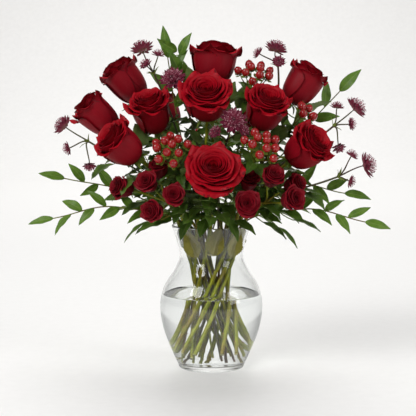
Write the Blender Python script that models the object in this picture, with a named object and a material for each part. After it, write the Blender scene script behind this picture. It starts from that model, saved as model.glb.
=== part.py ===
"""A dozen red roses with spray roses, berries, masterwort and leaf sprigs, in water in a glass vase.

Metres, +Z up. The origin is the centre of the vase's flat underside, on its axis. -Y is the bouquet's front.
All stems stand as one twisted bundle: straight in the vase, tightest at the water line, and curved above it.
"""

import math

import bpy
from mathutils import Matrix, Vector

# Vase: outside radius against height, wall, floor and the number of sides it is turned with.
VASE_HEIGHT = 0.203
VASE_OUTLINE = (
    (0.000, 0.0450),
    (0.028, 0.0578),
    (0.060, 0.0690),
    (0.092, 0.0725),
    (0.117, 0.0660),
    (0.140, 0.0520),
    (0.158, 0.0450),
    (0.180, 0.0485),
    (VASE_HEIGHT, 0.0565),
)
WALL = 0.003
FLOOR = 0.008
FILLET = 0.004
VASE_SIDES = 32
WATER_LEVEL = 0.104
WALL_LEVELS = (0.015, 0.034, 0.054, 0.074, 0.090, WATER_LEVEL, 0.118, 0.131, 0.143, 0.152, 0.164, 0.184)

# Clearance kept between pieces that touch.
GAP = 0.0003

# Bundle: a ring of rose stems that turns one way round a core of thinner stems that turns the other.
# Every stem swings about the axis with height, at one rate above the waist and another below it.
# A stem's place at the waist is WAIST_TURN degrees back from the side it leaves on. Two stems of
# one layer are at least the sum of their radii apart there, times the layer's room.
WAIST_HEIGHT = 0.108
WAIST_TURN = 68.0
RING_RADIUS = 0.0235
RING_ROOM = 1.7
CORE_RADIUS = 0.0200
CORE_ROOM = 1.25
LOW_SWING = 22.0
HIGH_SWING = 18.0
SWING_EASE = 0.012
UNEVEN_CUT = 0.014
STEM_LEVELS = (0.078, 0.100, 0.118, 0.145)
FREE_HEIGHT = 0.184
MOUTH = Vector((0, 0, 0.200))

ROSE_STEM = 0.0027
SPRAY_STEM = 0.0020
BERRY_STEM = 0.0016
MASTERWORT_STEM = 0.0014
LEAF_STEM = 0.0013

# Large roses: centre, facing (azimuth and elevation in degrees), diameter and height.
ROSES = (
    ((0.004, 0.020, 0.427), (60, 84), 0.082, 0.050),
    ((-0.119, 0.040, 0.402), (172, 52), 0.068, 0.058),
    ((-0.156, -0.004, 0.355), (176, 42), 0.064, 0.056),
    ((-0.081, -0.034, 0.359), (-115, 60), 0.068, 0.054),
    ((-0.119, -0.084, 0.317), (-152, 36), 0.068, 0.054),
    ((-0.007, -0.052, 0.377), (-92, 48), 0.080, 0.050),
    ((0.072, -0.050, 0.364), (-66, 53), 0.070, 0.054),
    ((0.127, 0.024, 0.397), (5, 56), 0.068, 0.056),
    ((0.126, -0.062, 0.312), (-40, 34), 0.070, 0.054),
    ((0.002, -0.108, 0.281), (-88, 38), 0.080, 0.048),
    ((-0.072, 0.092, 0.352), (125, 45), 0.070, 0.056),
    ((0.066, 0.096, 0.346), (58, 42), 0.070, 0.056),
)

# Spray roses by stem: fork point, then the centre, facing and diameter of each bloom.
SPRAYS = (
    (
        (-0.056, -0.062, 0.238),
        (
            ((-0.118, -0.090, 0.262), (-145, 15), 0.033),
            ((-0.070, -0.076, 0.285), (-100, 62), 0.030),
            ((-0.084, -0.099, 0.269), (-110, 25), 0.033),
            ((-0.049, -0.113, 0.253), (-95, 20), 0.033),
            ((-0.077, -0.107, 0.233), (-115, 5), 0.033),
        ),
    ),
    (
        (0.070, -0.044, 0.236),
        (
            ((0.050, -0.078, 0.270), (-75, 50), 0.031),
            ((0.046, -0.119, 0.243), (-85, 12), 0.038),
            ((0.081, -0.101, 0.277), (-72, 35), 0.033),
            ((0.111, -0.068, 0.264), (-35, 25), 0.031),
            ((0.106, -0.105, 0.248), (-60, 15), 0.036),
        ),
    ),
    (
        (-0.008, 0.074, 0.246),
        (
            ((-0.034, 0.112, 0.280), (110, 30), 0.035),
            ((0.012, 0.118, 0.258), (80, 15), 0.034),
        ),
    ),
)
SPRAY_HEIGHT_SHARE = 0.86

# Berry sprigs: centre of the cluster, facing, number of berries and radius of the cluster.
BERRY_SPRIGS = (
    ((-0.054, -0.092, 0.313), (-112, 45), 11, 0.028),
    ((0.062, 0.002, 0.413), (-75, 55), 10, 0.026),
    ((0.128, -0.020, 0.360), (-20, 50), 6, 0.020),
    ((0.066, -0.100, 0.319), (-68, 44), 11, 0.026),
    ((-0.002, 0.114, 0.336), (92, 40), 8, 0.024),
)
BERRY_RADIUS = 0.0055
GOLDEN_ANGLE = math.radians(137.5)

# Masterwort: fork point, main head, its facing and diameter, then the small heads.
MASTERWORTS = (
    ((-0.080, 0.008, 0.414), (-0.097, 0.010, 0.450), (120, 60), 0.030,
     ((-0.074, 0.004, 0.442), (-0.092, -0.002, 0.428))),
    ((-0.038, -0.002, 0.374), (-0.054, -0.010, 0.408), (-110, 40), 0.035, ()),
    ((-0.168, -0.042, 0.322), (-0.204, -0.034, 0.344), (165, 35), 0.028,
     ((-0.196, -0.050, 0.313), (-0.165, -0.064, 0.290))),
    ((0.020, -0.066, 0.322), (0.029, -0.088, 0.352), (-85, 30), 0.034,
     ((0.005, -0.086, 0.337), (0.043, -0.093, 0.339))),
    ((0.094, 0.016, 0.424), (0.091, 0.012, 0.450), (40, 65), 0.031,
     ((0.066, 0.016, 0.444), (0.094, 0.002, 0.432))),
    ((0.168, -0.026, 0.342), (0.200, -0.022, 0.368), (5, 42), 0.032,
     ((0.174, -0.020, 0.370), (0.192, -0.036, 0.346), (0.174, -0.050, 0.314))),
    ((0.172, -0.050, 0.274), (0.213, -0.042, 0.290), (-8, 14), 0.034,
     ((0.192, -0.050, 0.304), (0.190, -0.052, 0.268))),
)
SMALL_HEAD = 0.018

# Leaf sprigs: a point half way, the stem's end, the way the leaves face, their number and their length.
LEAF_SPRIGS = (
    ((-0.126, -0.046, 0.232), (-0.218, -0.040, 0.216), (-0.1, -1.0, 0.5), 10, 0.037),
    ((-0.110, -0.006, 0.246), (-0.204, -0.022, 0.270), (0.1, -1.0, 0.3), 9, 0.037),
    ((0.122, -0.034, 0.228), (0.212, -0.040, 0.211), (0.1, -1.0, 0.5), 10, 0.037),
    ((0.108, -0.012, 0.258), (0.184, -0.030, 0.250), (-0.1, -1.0, 0.4), 8, 0.038),
    ((-0.050, 0.034, 0.360), (-0.062, 0.036, 0.438), (0.0, -1.0, 0.3), 7, 0.046),
    ((0.134, 0.056, 0.334), (0.185, 0.054, 0.390), (0.0, -1.0, 0.2), 6, 0.044),
    ((0.030, 0.118, 0.226), (0.040, 0.190, 0.230), (0.2, 0.6, 1.0), 8, 0.036),
)
LEAF_SLIMNESS = 0.33
LEAF_THICKNESS = 0.0009

# Where a blade is measured along its length, and its share of the full width there.
LEAF_STATIONS = ((0.14, 0.50), (0.42, 1.0), (0.76, 0.66))
SEPAL_STATIONS = ((0.30, 1.0),)

# Collar leaves on rose stems: stem number, leaf base, tip, and width.
COLLAR_LEAVES = (
    (4, (-0.070, -0.046, 0.214), (-0.104, -0.062, 0.196), 0.020),
    (5, (-0.026, -0.056, 0.222), (-0.042, -0.080, 0.190), 0.020),
    (9, (0.020, -0.060, 0.220), (0.036, -0.078, 0.188), 0.019),
    (8, (0.070, -0.046, 0.212), (0.102, -0.066, 0.190), 0.021),
    (10, (-0.050, 0.062, 0.214), (-0.080, 0.090, 0.194), 0.022),
    (11, (0.060, 0.062, 0.212), (0.090, 0.088, 0.194), 0.022),
)

COLOURS = {
    "clear_glass": ((0.86, 0.92, 0.90, 0.35), 0.02),
    "water": ((0.84, 0.93, 0.95, 0.25), 0.02),
    "rose_petal": ((0.48, 0.005, 0.012, 1.0), 0.55),
    "spray_petal": ((0.22, 0.004, 0.018, 1.0), 0.55),
    "rose_green": ((0.16, 0.27, 0.05, 1.0), 0.50),
    "berry_red": ((0.62, 0.03, 0.03, 1.0), 0.25),
    "masterwort": ((0.30, 0.06, 0.12, 1.0), 0.60),
    "leaf_green": ((0.08, 0.20, 0.03, 1.0), 0.45),
}


def clear_scene():
    for obj in list(bpy.data.objects):
        bpy.data.objects.remove(obj)


def material(slot):
    """The slot's Principled material, made on first use."""
    found = bpy.data.materials.get(slot)
    if found:
        return found
    colour, roughness = COLOURS[slot]
    made = bpy.data.materials.new(slot)
    made.use_nodes = True
    shader = made.node_tree.nodes["Principled BSDF"]
    shader.inputs["Base Color"].default_value = colour
    shader.inputs["Roughness"].default_value = roughness
    shader.inputs["Alpha"].default_value = colour[3]
    made.diffuse_color = colour
    return made


# Points, directions and curves.


def facing(azimuth, elevation):
    """The unit vector at these angles in degrees: azimuth from +X to +Y, elevation above the horizon."""
    a, e = math.radians(azimuth), math.radians(elevation)
    return Vector((math.cos(a) * math.cos(e), math.sin(a) * math.cos(e), math.sin(e)))


def placed(origin, axis):
    """A frame at origin whose Z lies along axis."""
    return Matrix.Translation(origin) @ axis.to_track_quat("Z", "Y").to_matrix().to_4x4()


def bezier(a, b, c, d, count):
    """count points of a cubic curve, its ends included."""
    points = []
    for i in range(count):
        t = i / (count - 1)
        s = 1 - t
        points.append(a * s**3 + b * 3 * s * s * t + c * 3 * s * t * t + d * t**3)
    return points


def sweep(start, heading, end, arrival, count):
    """A smooth curve that leaves start along heading and reaches end along arrival."""
    reach = (end - start).length * 0.38
    return bezier(start, start + heading * reach, end - arrival * reach, end, count)


def outline_radius(height):
    """The vase's outside radius at a height: a smooth curve through VASE_OUTLINE."""
    last = len(VASE_OUTLINE) - 1
    i = max(k for k in range(last) if VASE_OUTLINE[k][0] <= height or k == 0)
    points = [VASE_OUTLINE[min(max(k, 0), last)] for k in range(i - 1, i + 3)]
    (z0, r0), (z1, r1), (z2, r2), (z3, r3) = points
    t = (height - z1) / (z2 - z1)
    slope1 = (r2 - r0) / (z2 - z0) * (z2 - z1)
    slope2 = (r3 - r1) / (z3 - z1) * (z2 - z1)
    return (
        (2 * t**3 - 3 * t**2 + 1) * r1
        + (t**3 - 2 * t**2 + t) * slope1
        + (3 * t**2 - 2 * t**3) * r2
        + (t**3 - t**2) * slope2
    )


def inside_radius(height):
    return outline_radius(height) - WALL


# Solids.


def loft(name, rings):
    """A closed mesh through rings of equally many points; a ring of one point is a pole."""
    points = [p for ring in rings for p in ring]
    starts = [sum(len(ring) for ring in rings[:i]) for i in range(len(rings))]
    faces = []
    for (ring, a), (after, b) in zip(zip(rings, starts), zip(rings[1:], starts[1:])):
        count = max(len(ring), len(after))
        for i in range(count):
            j = (i + 1) % count
            if len(ring) == 1:
                faces.append((a, b + j, b + i))
            elif len(after) == 1:
                faces.append((a + i, a + j, b))
            else:
                faces.append((a + i, a + j, b + j, b + i))
    if len(rings[0]) > 1:
        faces.append(tuple(reversed(range(len(rings[0])))))
    if len(rings[-1]) > 1:
        faces.append(tuple(range(starts[-1], starts[-1] + len(rings[-1]))))
    mesh = bpy.data.meshes.new(name)
    mesh.from_pydata(points, [], faces)
    mesh.shade_smooth()
    mesh.set_sharp_from_angle(angle=math.radians(50))
    obj = bpy.data.objects.new(name, mesh)
    bpy.context.scene.collection.objects.link(obj)
    return obj


def turned(name, profile, sides):
    """A solid turned about Z from (radius, height) points, from its lower pole round to its upper one."""
    rings = []
    for radius, height in profile:
        if radius == 0:
            rings.append([Vector((0, 0, height))])
            continue
        angles = [2 * math.pi * i / sides for i in range(sides)]
        rings.append([Vector((radius * math.cos(a), radius * math.sin(a), height)) for a in angles])
    return loft(name, rings)


def tube(name, path, radii, sides):
    """A round rod along path; radii holds its radius at each point."""
    rings = []
    across = (path[1] - path[0]).orthogonal().normalized()
    for i, (point, radius) in enumerate(zip(path, radii)):
        along = (path[min(i + 1, len(path) - 1)] - path[max(i - 1, 0)]).normalized()
        across = (across - along * across.dot(along)).normalized()
        other = along.cross(across)
        angles = [2 * math.pi * k / sides for k in range(sides)]
        rings.append([point + (across * math.cos(a) + other * math.sin(a)) * radius for a in angles])
    return loft(name, rings)


def tapered(start, end, count):
    return [start + (end - start) * i / (count - 1) for i in range(count)]


def leaf(name, base, tip, width, normal, arch=0.06, stations=LEAF_STATIONS):
    """A pointed leaf blade, folded a little along its midrib and arched from base to tip."""
    along = tip - base
    side = along.cross(normal).normalized()
    up = side.cross(along).normalized()
    rings = [[base]]
    for t, share in stations:
        middle = base + along * t + up * (arch * along.length * 4 * t * (1 - t))
        half = side * (width * share / 2)
        fold = up * (width * share * 0.10)
        skin = up * (LEAF_THICKNESS / 2)
        rings.append([middle + half + fold, middle + skin, middle - half + fold, middle - skin])
    rings.append([tip])
    return loft(name, rings)


def ball(name, centre, radius, axis, sides=5):
    """A berry: an upright ellipsoid."""
    frame = placed(centre, axis)
    rings = [[frame @ Vector((0, 0, -radius * 1.1))]]
    for latitude in (-45, 0, 45):
        a = math.radians(latitude)
        r, z = radius * math.cos(a), radius * 1.1 * math.sin(a)
        turn = [2 * math.pi * i / sides for i in range(sides)]
        rings.append([frame @ Vector((r * math.cos(t), r * math.sin(t), z)) for t in turn])
    rings.append([frame @ Vector((0, 0, radius * 1.1))])
    return loft(name, rings)


def fused(name, parts, slot):
    """One solid made of overlapping parts, as a plant grows them."""
    body, others = parts[0], parts[1:]
    group = bpy.data.collections.new(name + "_parts")
    for part in others:
        group.objects.link(part)
    if others:
        union = body.modifiers.new("union", "BOOLEAN")
        union.operation = "UNION"
        union.operand_type = "COLLECTION"
        union.collection = group
        union.solver = "EXACT"
    return finished(name, body, slot, others)


def finished(name, body, slot, used):
    """The evaluated body under its node name, with the parts used to shape it removed."""
    graph = bpy.context.evaluated_depsgraph_get()
    mesh = bpy.data.meshes.new_from_object(body.evaluated_get(graph))
    mesh.name = name
    mesh.materials.clear()
    mesh.materials.append(material(slot))
    obj = bpy.data.objects.new(name, mesh)
    bpy.context.scene.collection.objects.link(obj)
    for part in [body, *used]:
        bpy.data.objects.remove(part)
    return obj


# The bundle of stems.


def swing(height):
    """How far a stem has swung round at a height, as a share of its distance from the axis at the waist."""
    above = height - WAIST_HEIGHT
    ease = math.sqrt(above**2 + SWING_EASE**2) - SWING_EASE
    return (HIGH_SWING + LOW_SWING) / 2 * above + (HIGH_SWING - LOW_SWING) / 2 * ease


def stem_line(slot, height):
    """Where the stem through a waist slot is at this height. The slot's z is its hand, 1 or -1."""
    turn = slot.z * swing(height)
    return Vector((slot.x - turn * slot.y, slot.y + turn * slot.x, height))


def wished_slot(tip, hand):
    """The waist slot from which a stem of this hand swings towards tip."""
    out = tip - MOUTH
    polar = math.atan2(math.hypot(out.x, out.y), out.z)
    radius = RING_RADIUS if hand > 0 else CORE_RADIUS * math.sqrt(polar / (math.pi / 2))
    angle = math.atan2(out.y, out.x) - hand * math.radians(WAIST_TURN)
    return Vector((radius * math.cos(angle), radius * math.sin(angle), hand))


def parted(slots, radii, room, settle):
    """The slots moved apart until no two stems touch, each move followed by settle."""
    for _ in range(400):
        for i in range(len(slots)):
            for j in range(i):
                apart = slots[i].xy - slots[j].xy
                least = (radii[i] + radii[j] + 2 * GAP) * room
                if apart.length < least:
                    push = (apart.normalized() * (least - apart.length) / 2).to_3d()
                    slots[i] += push
                    slots[j] -= push
        slots = [settle(slot, radius) for slot, radius in zip(slots, radii)]
    return slots


def on_ring(slot, radius):
    flat = slot.xy.normalized() * RING_RADIUS
    return Vector((flat.x, flat.y, slot.z))


def in_core(slot, radius):
    share = min(1, (CORE_RADIUS - radius) / slot.xy.length)
    return Vector((slot.x * share, slot.y * share, slot.z))


def waist_slots(ring, core):
    """The slots of the ring's and the core's stems, each given as (radius, tip)."""
    outer = [wished_slot(tip, 1) for _, tip in ring]
    inner = [wished_slot(tip, -1) for _, tip in core]
    return (parted(outer, [r for r, _ in ring], RING_ROOM, on_ring)
            + parted(inner, [r for r, _ in core], CORE_ROOM, in_core))


def foot_height(slot, radius):
    """Where the stem ends: cut a little unevenly, and always clear of the vase's floor and wall."""
    height = FLOOR + 0.0015 + UNEVEN_CUT * (1 + math.sin(9 * math.atan2(slot.y, slot.x))) / 2
    while stem_line(slot, height).xy.length + radius * 1.8 + 0.0015 > inside_radius(height):
        height += 0.001
    return height


def straight_run(slot, radius):
    """The stem's centreline in the vase, from its cut end up."""
    foot = foot_height(slot, radius)
    return [stem_line(slot, z) for z in (foot, *STEM_LEVELS)]


def stem_path(slot, radius, tip, arrival, count=7, via=None):
    """The stem's centreline from its cut end in the water to tip."""
    leave = stem_line(slot, FREE_HEIGHT)
    heading = (leave - stem_line(slot, FREE_HEIGHT - 0.01)).normalized()
    points = straight_run(slot, radius)
    if via is None:
        return points + sweep(leave, heading, tip, arrival, count)
    passing = (tip - leave).normalized()
    first = sweep(leave, heading, via, passing, count // 2 + 2)
    return points + first + sweep(via, passing, tip, arrival, count // 2 + 1)[1:]


# The pieces.


def vase():
    """A turned glass vase with a thick floor and a rounded lip."""
    rim = outline_radius(VASE_HEIGHT)
    lip = WALL / 2
    profile = [(0, 0), (VASE_OUTLINE[0][1] - 0.002, 0), (VASE_OUTLINE[0][1], 0.002)]
    profile += [(outline_radius(z), z) for z in WALL_LEVELS]
    profile += [(rim, VASE_HEIGHT - lip), (rim - lip * 0.6, VASE_HEIGHT)]
    profile += [(rim - WALL + lip * 0.6, VASE_HEIGHT), (rim - WALL, VASE_HEIGHT - lip)]
    profile += [(inside_radius(z), z) for z in reversed(WALL_LEVELS)]
    profile += [(inside_radius(FLOOR) - FILLET, FLOOR), (0, FLOOR)]
    return finished("vase", turned("vase_body", profile, VASE_SIDES), "clear_glass", [])


def water(stem_cutters):
    """The water in the vase, with a channel for every stem that stands in it."""
    profile = [(0, FLOOR + GAP), (inside_radius(FLOOR) - FILLET - 2 * GAP, FLOOR + GAP)]
    profile += [(inside_radius(z) - 2 * GAP, z) for z in WALL_LEVELS if z <= WATER_LEVEL]
    profile += [(0, WATER_LEVEL)]
    body = turned("water_body", profile, VASE_SIDES)
    group = bpy.data.collections.new("stem_channels")
    for cutter in stem_cutters:
        group.objects.link(cutter)
    channels = body.modifiers.new("stem_channels", "BOOLEAN")
    channels.operation = "DIFFERENCE"
    channels.operand_type = "COLLECTION"
    channels.collection = group
    channels.solver = "EXACT"
    return finished("water", body, "water", stem_cutters)


def channel(slot, radius, sides):
    """The cutter for one stem's channel: its run through the water, a gap wider, out through the surface."""
    run = straight_run(slot, radius)
    run[0] = run[0] - (run[1] - run[0]).normalized() * GAP
    wide = (radius + GAP) / math.cos(math.pi / sides)
    return tube("channel", run, [wide] * len(run), sides)


def bloom(name, slot, centre, axis, diameter, height, sides, turns):
    """A rose bloom: a cup of overlapping petals, closed above by a spiral of smaller ones."""
    frame = placed(centre - axis * (height / 2), axis)
    half = diameter / 2
    rings = [[frame @ Vector((0, 0, 0))]]
    cup = ((0.00, 0.20), (0.16, 0.60), (0.52, 0.80), (0.88, 1.00))
    crown = ((0.82, 0.95), (0.54, 0.92), (0.28, 0.92))
    for level, share in cup:
        ring = []
        for i in range(sides):
            a = 2 * math.pi * i / sides
            r = half * share * (1 - 0.07 * level + 0.07 * level * math.cos(5 * a))
            ring.append(frame @ Vector((r * math.cos(a), r * math.sin(a), height * level)))
        rings.append(ring)
    for share, level in crown:
        ring = []
        for i in range(sides):
            a = 2 * math.pi * i / sides
            wave = 0.035 * math.cos(a - 2 * math.pi * turns * share)
            r = half * share * (1 + wave)
            ring.append(frame @ Vector((r * math.cos(a), r * math.sin(a), height * (level + wave))))
        rings.append(ring)
    rings.append([frame @ Vector((0, 0, height * 0.97))])
    return finished(name, loft(name + "_body", rings), slot, [])


def sepals(name, base, axis, length, stem_radius):
    """The green calyx under a bloom: a swollen hip that carries five sepals lying back."""
    hip = tube(name + "_hip", [base - axis * 0.008, base - axis * 0.004, base - axis * GAP],
               [stem_radius, stem_radius * 1.9, stem_radius * 1.5], 6)
    around = placed(base - axis * 0.002, axis)
    parts = [hip]
    for i in range(5):
        a = 2 * math.pi * i / 5
        out = Vector((math.cos(a), math.sin(a), 0))
        start = around @ (out * stem_radius * 0.6 + Vector((0, 0, -0.0018)))
        end = around @ (out * length - Vector((0, 0, length * 0.45)))
        parts.append(leaf(f"{name}_sepal_{i}", start, end, 0.005, axis, 0.0, SEPAL_STATIONS))
    return parts


def rose_stem(index, slot, tip, axis):
    """A large rose's stem with its calyx, and a collar leaf on the stems that carry one."""
    path = stem_path(slot, ROSE_STEM, tip - axis * 0.006, axis)
    parts = [tube("stem", path, tapered(ROSE_STEM, ROSE_STEM * 0.8, len(path)), 6)]
    parts += sepals("calyx", tip, axis, 0.016, ROSE_STEM)
    for number, base, end, width in COLLAR_LEAVES:
        if number != index:
            continue
        base, end = Vector(base), Vector(end)
        anchor = min(path, key=lambda p: (p - base).length)
        out = (base - anchor).normalized()
        stalk = sweep(anchor, out, base.lerp(end, LEAF_STATIONS[0][0]), (end - base).normalized(), 4)
        parts.append(tube("stalk", stalk, tapered(0.0009, 0.0007, 4), 6))
        parts.append(leaf("blade", base, end, width, Vector((0, 0, 1)), 0.0))
    return fused(f"rose_stem_{index + 1:02d}", parts, "rose_green")


def spray_stem(number, slot, fork, blooms):
    """A branched stem that carries a bloom on each branch."""
    path = stem_path(slot, SPRAY_STEM, fork, (fork - MOUTH).normalized(), 4)
    parts = [tube("stem", path, [SPRAY_STEM] * len(path), 6)]
    rising = (path[-1] - path[-2]).normalized()
    for tip, axis in blooms:
        start = fork - rising * 0.004
        twig = sweep(start, rising, tip - axis * 0.004, axis, 5)
        parts.append(tube("twig", twig, tapered(0.0016, 0.0012, 5), 5))
        parts.append(tube("hip", [tip - axis * 0.006, tip - axis * 0.003, tip - axis * GAP],
                          [0.0013, 0.0032, 0.0028], 6))
    return fused(f"spray_stem_{number}", parts, "rose_green")


def berry_places(centre, axis, count, spread):
    """Where a cluster's berries sit: a sunflower pattern over a shallow dome."""
    frame = placed(centre, axis)
    places = []
    for i in range(count):
        share = math.sqrt((i + 0.35) / count)
        a = i * GOLDEN_ANGLE
        r = spread * share
        places.append(frame @ Vector((r * math.cos(a), r * math.sin(a), spread * 0.45 * (1 - share**2))))
    return places


def berry_sprig(number, slot, centre, axis, count, spread):
    """A stem that forks into a cluster of berries on short stalks."""
    fork = centre - axis * (spread * 1.25)
    path = stem_path(slot, BERRY_STEM, fork, axis, 6)
    parts = [tube("stem", path, [BERRY_STEM] * len(path), 5)]
    for place in berry_places(centre, axis, count, spread):
        out = (place - fork).normalized()
        stalk = sweep(fork - axis * 0.002, (out + axis).normalized(), place, (out + axis).normalized(), 3)
        parts.append(tube("stalk", stalk, [0.0009] * 3, 4))
        parts.append(ball("berry", place, BERRY_RADIUS, out))
    return fused(f"berry_sprig_{number}", parts, "berry_red")


def flower_head(name, centre, axis, diameter):
    """A masterwort head: a flat collar of bracts round a domed middle."""
    frame = placed(centre, axis)
    profile = ((0.30, -0.22), (1.0, 0.06), (0.60, 0.20))
    rings = [[frame @ Vector((0, 0, -0.30 * diameter / 2))]]
    for share, level in profile:
        r, z = share * diameter / 2, level * diameter / 2
        turn = [2 * math.pi * i / 9 for i in range(9)]
        rings.append([frame @ Vector((r * math.cos(t), r * math.sin(t), z)) for t in turn])
    rings.append([frame @ Vector((0, 0, 0.36 * diameter / 2))])
    return loft(name, rings)


def masterwort(number, slot, fork, head, axis, diameter, small_heads):
    """A stem that forks into one large head and its small side heads."""
    path = stem_path(slot, MASTERWORT_STEM, fork, (head - fork).normalized(), 6)
    parts = [tube("stem", path, [MASTERWORT_STEM] * len(path), 5)]
    rising = (path[-1] - path[-2]).normalized()
    heads = [(head, axis, diameter)]
    heads += [(Vector(p), (Vector(p) - fork).normalized(), SMALL_HEAD) for p in small_heads]
    for centre, way, size in heads:
        twig = sweep(fork - rising * 0.002, rising, centre, way, 4)
        parts.append(tube("twig", twig, tapered(0.0012, 0.0009, 4), 4))
        parts.append(flower_head("head", centre, way, size))
    return fused(f"masterwort_{number}", parts, "masterwort")


def leaf_places(path, normal, count, length):
    """Base, tip and width of a sprig's leaves: alternate sides along the free stretch, one at the end."""
    steps = len(path) - 1
    places = []
    for i in range(count - 1):
        at = steps * (0.50 + 0.48 * i / (count - 1))
        k = min(int(at), steps - 1)
        base = path[k].lerp(path[k + 1], at - k)
        along = (path[k + 1] - path[k]).normalized()
        side = along.cross(normal).normalized() * (1 if i % 2 else -1)
        way = (along * 0.75 + side * 0.65 + normal * 0.10).normalized()
        places.append((base, base + way * length * (0.88 + 0.12 * (i % 3) / 2), length * LEAF_SLIMNESS))
    along = (path[-1] - path[-2]).normalized()
    places.append((path[-1] - along * 0.001, path[-1] + along * length, length * LEAF_SLIMNESS))
    return places


def leaf_sprig(number, slot, via, end, normal, count, length):
    """An arching leaf sprig."""
    arrival = (end - via).normalized()
    path = stem_path(slot, LEAF_STEM, end, arrival, 8, via)
    parts = [tube("stem", path, tapered(LEAF_STEM, LEAF_STEM * 0.6, len(path)), 5)]
    for base, tip, width in leaf_places(path, normal, count, length):
        parts.append(leaf("blade", base, tip, width, normal))
    return fused(f"leaf_sprig_{number}", parts, "leaf_green")


def bouquet():
    """Every plant in the vase. Returns the (slot, radius, sides) of each stem, for the water's channels."""
    roses = [(Vector(c), facing(*f), d, h) for c, f, d, h in ROSES]
    tips = [c - axis * (h / 2) for c, axis, _, h in roses]
    plants = [(ROSE_STEM, tip) for tip in tips]
    plants += [(SPRAY_STEM, Vector(fork)) for fork, _ in SPRAYS]
    plants += [(BERRY_STEM, Vector(c)) for c, _, _, _ in BERRY_SPRIGS]
    plants += [(MASTERWORT_STEM, Vector(row[0])) for row in MASTERWORTS]
    plants += [(LEAF_STEM, Vector(via)) for via, _, _, _, _ in LEAF_SPRIGS]
    slots = waist_slots(plants[: len(ROSES)], plants[len(ROSES) :])
    free = iter(slots)
    for i, ((centre, axis, diameter, height), tip) in enumerate(zip(roses, tips)):
        bloom(f"rose_bloom_{i + 1:02d}", "rose_petal", centre, axis, diameter, height, 15, 2.5)
        rose_stem(i, next(free), tip, axis)
    serial = 0
    for number, (fork, blooms) in enumerate(SPRAYS, 1):
        ends = []
        for centre, face, diameter in blooms:
            serial += 1
            centre, axis, height = Vector(centre), facing(*face), diameter * SPRAY_HEIGHT_SHARE
            bloom(f"spray_bloom_{serial:02d}", "spray_petal", centre, axis, diameter, height, 10, 2.0)
            ends.append((centre - axis * (height / 2), axis))
        spray_stem(number, next(free), Vector(fork), ends)
    for number, (centre, face, count, spread) in enumerate(BERRY_SPRIGS, 1):
        berry_sprig(number, next(free), Vector(centre), facing(*face), count, spread)
    for number, (fork, head, face, diameter, small) in enumerate(MASTERWORTS, 1):
        masterwort(number, next(free), Vector(fork), Vector(head), facing(*face), diameter, small)
    for number, (via, end, normal, count, length) in enumerate(LEAF_SPRIGS, 1):
        leaf_sprig(number, next(free), Vector(via), Vector(end), Vector(normal).normalized(), count, length)
    return [(slot, radius, 6 if radius > SPRAY_STEM * 0.9 else 5)
            for slot, (radius, _) in zip(slots, plants)]


def main():
    clear_scene()
    vase()
    stems = bouquet()
    water([channel(*stem) for stem in stems])


main()
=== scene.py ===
"""Roses in a vase: the fine surface of every plant, the glass and the water, in a plain studio."""

import math

import bpy
import numpy as np
from mathutils import Matrix, Vector


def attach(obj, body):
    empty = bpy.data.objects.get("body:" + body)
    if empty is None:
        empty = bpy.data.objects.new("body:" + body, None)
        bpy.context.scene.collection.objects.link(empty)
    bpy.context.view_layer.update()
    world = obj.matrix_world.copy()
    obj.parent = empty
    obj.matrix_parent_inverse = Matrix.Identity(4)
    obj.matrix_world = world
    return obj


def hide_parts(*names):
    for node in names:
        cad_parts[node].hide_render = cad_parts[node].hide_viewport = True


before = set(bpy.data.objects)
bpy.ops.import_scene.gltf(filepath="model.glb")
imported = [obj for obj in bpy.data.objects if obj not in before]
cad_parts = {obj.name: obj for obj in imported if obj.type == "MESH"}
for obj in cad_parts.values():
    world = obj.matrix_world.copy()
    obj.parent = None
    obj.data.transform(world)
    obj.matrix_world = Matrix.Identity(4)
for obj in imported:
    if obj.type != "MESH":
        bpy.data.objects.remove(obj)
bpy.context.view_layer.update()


def metres(place):
    """The point whose coordinates are given in millimetres."""
    return Vector([value / 1000 for value in place])


def facing(azimuth, elevation):
    """The unit vector at these angles in degrees: azimuth from +X to +Y, elevation above the horizon."""
    a, e = math.radians(azimuth), math.radians(elevation)
    return Vector((math.cos(a) * math.cos(e), math.sin(a) * math.cos(e), math.sin(e)))


# The vase, the water and the bundle of stems, in metres, as the CAD has them.
VASE_HEIGHT = 0.203
VASE_OUTLINE = (
    (0.000, 0.0450), (0.028, 0.0578), (0.060, 0.0690), (0.092, 0.0725), (0.117, 0.0660),
    (0.140, 0.0520), (0.158, 0.0450), (0.180, 0.0485), (VASE_HEIGHT, 0.0565),
)
WALL = 0.003
FLOOR = 0.008
FLOOR_CORNER = 0.010
VASE_SIDES = 128
WATER_LEVEL = 0.104
GAP = 0.0003
WAIST_HEIGHT = 0.108
WAIST_TURN = 68.0
RING_RADIUS = 0.0235
RING_ROOM = 1.7
CORE_RADIUS = 0.0200
CORE_ROOM = 1.25
LOW_SWING = 22.0
HIGH_SWING = 18.0
SWING_EASE = 0.012
UNEVEN_CUT = 0.014
STEM_LEVELS = (0.078, 0.100, 0.118, 0.145)
FREE_HEIGHT = 0.184
MOUTH = Vector((0, 0, 0.200))
ROSE_STEM = 0.0027
SPRAY_STEM = 0.0020
BERRY_STEM = 0.0016
MASTERWORT_STEM = 0.0014
LEAF_STEM = 0.0013
GOLDEN_ANGLE = math.radians(137.5)

# How full the blooms and the stems are. A masterwort's numbers are for a small and a large head.
ROSE_PETALS = 38
SPRAY_PETALS = 24
SPRAY_OPENED = 0.9
BRACTS = (15, 24)
FLORETS = (38, 96)
PRICKLES = 9
LEAVES_PER_ROSE = 8

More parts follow.
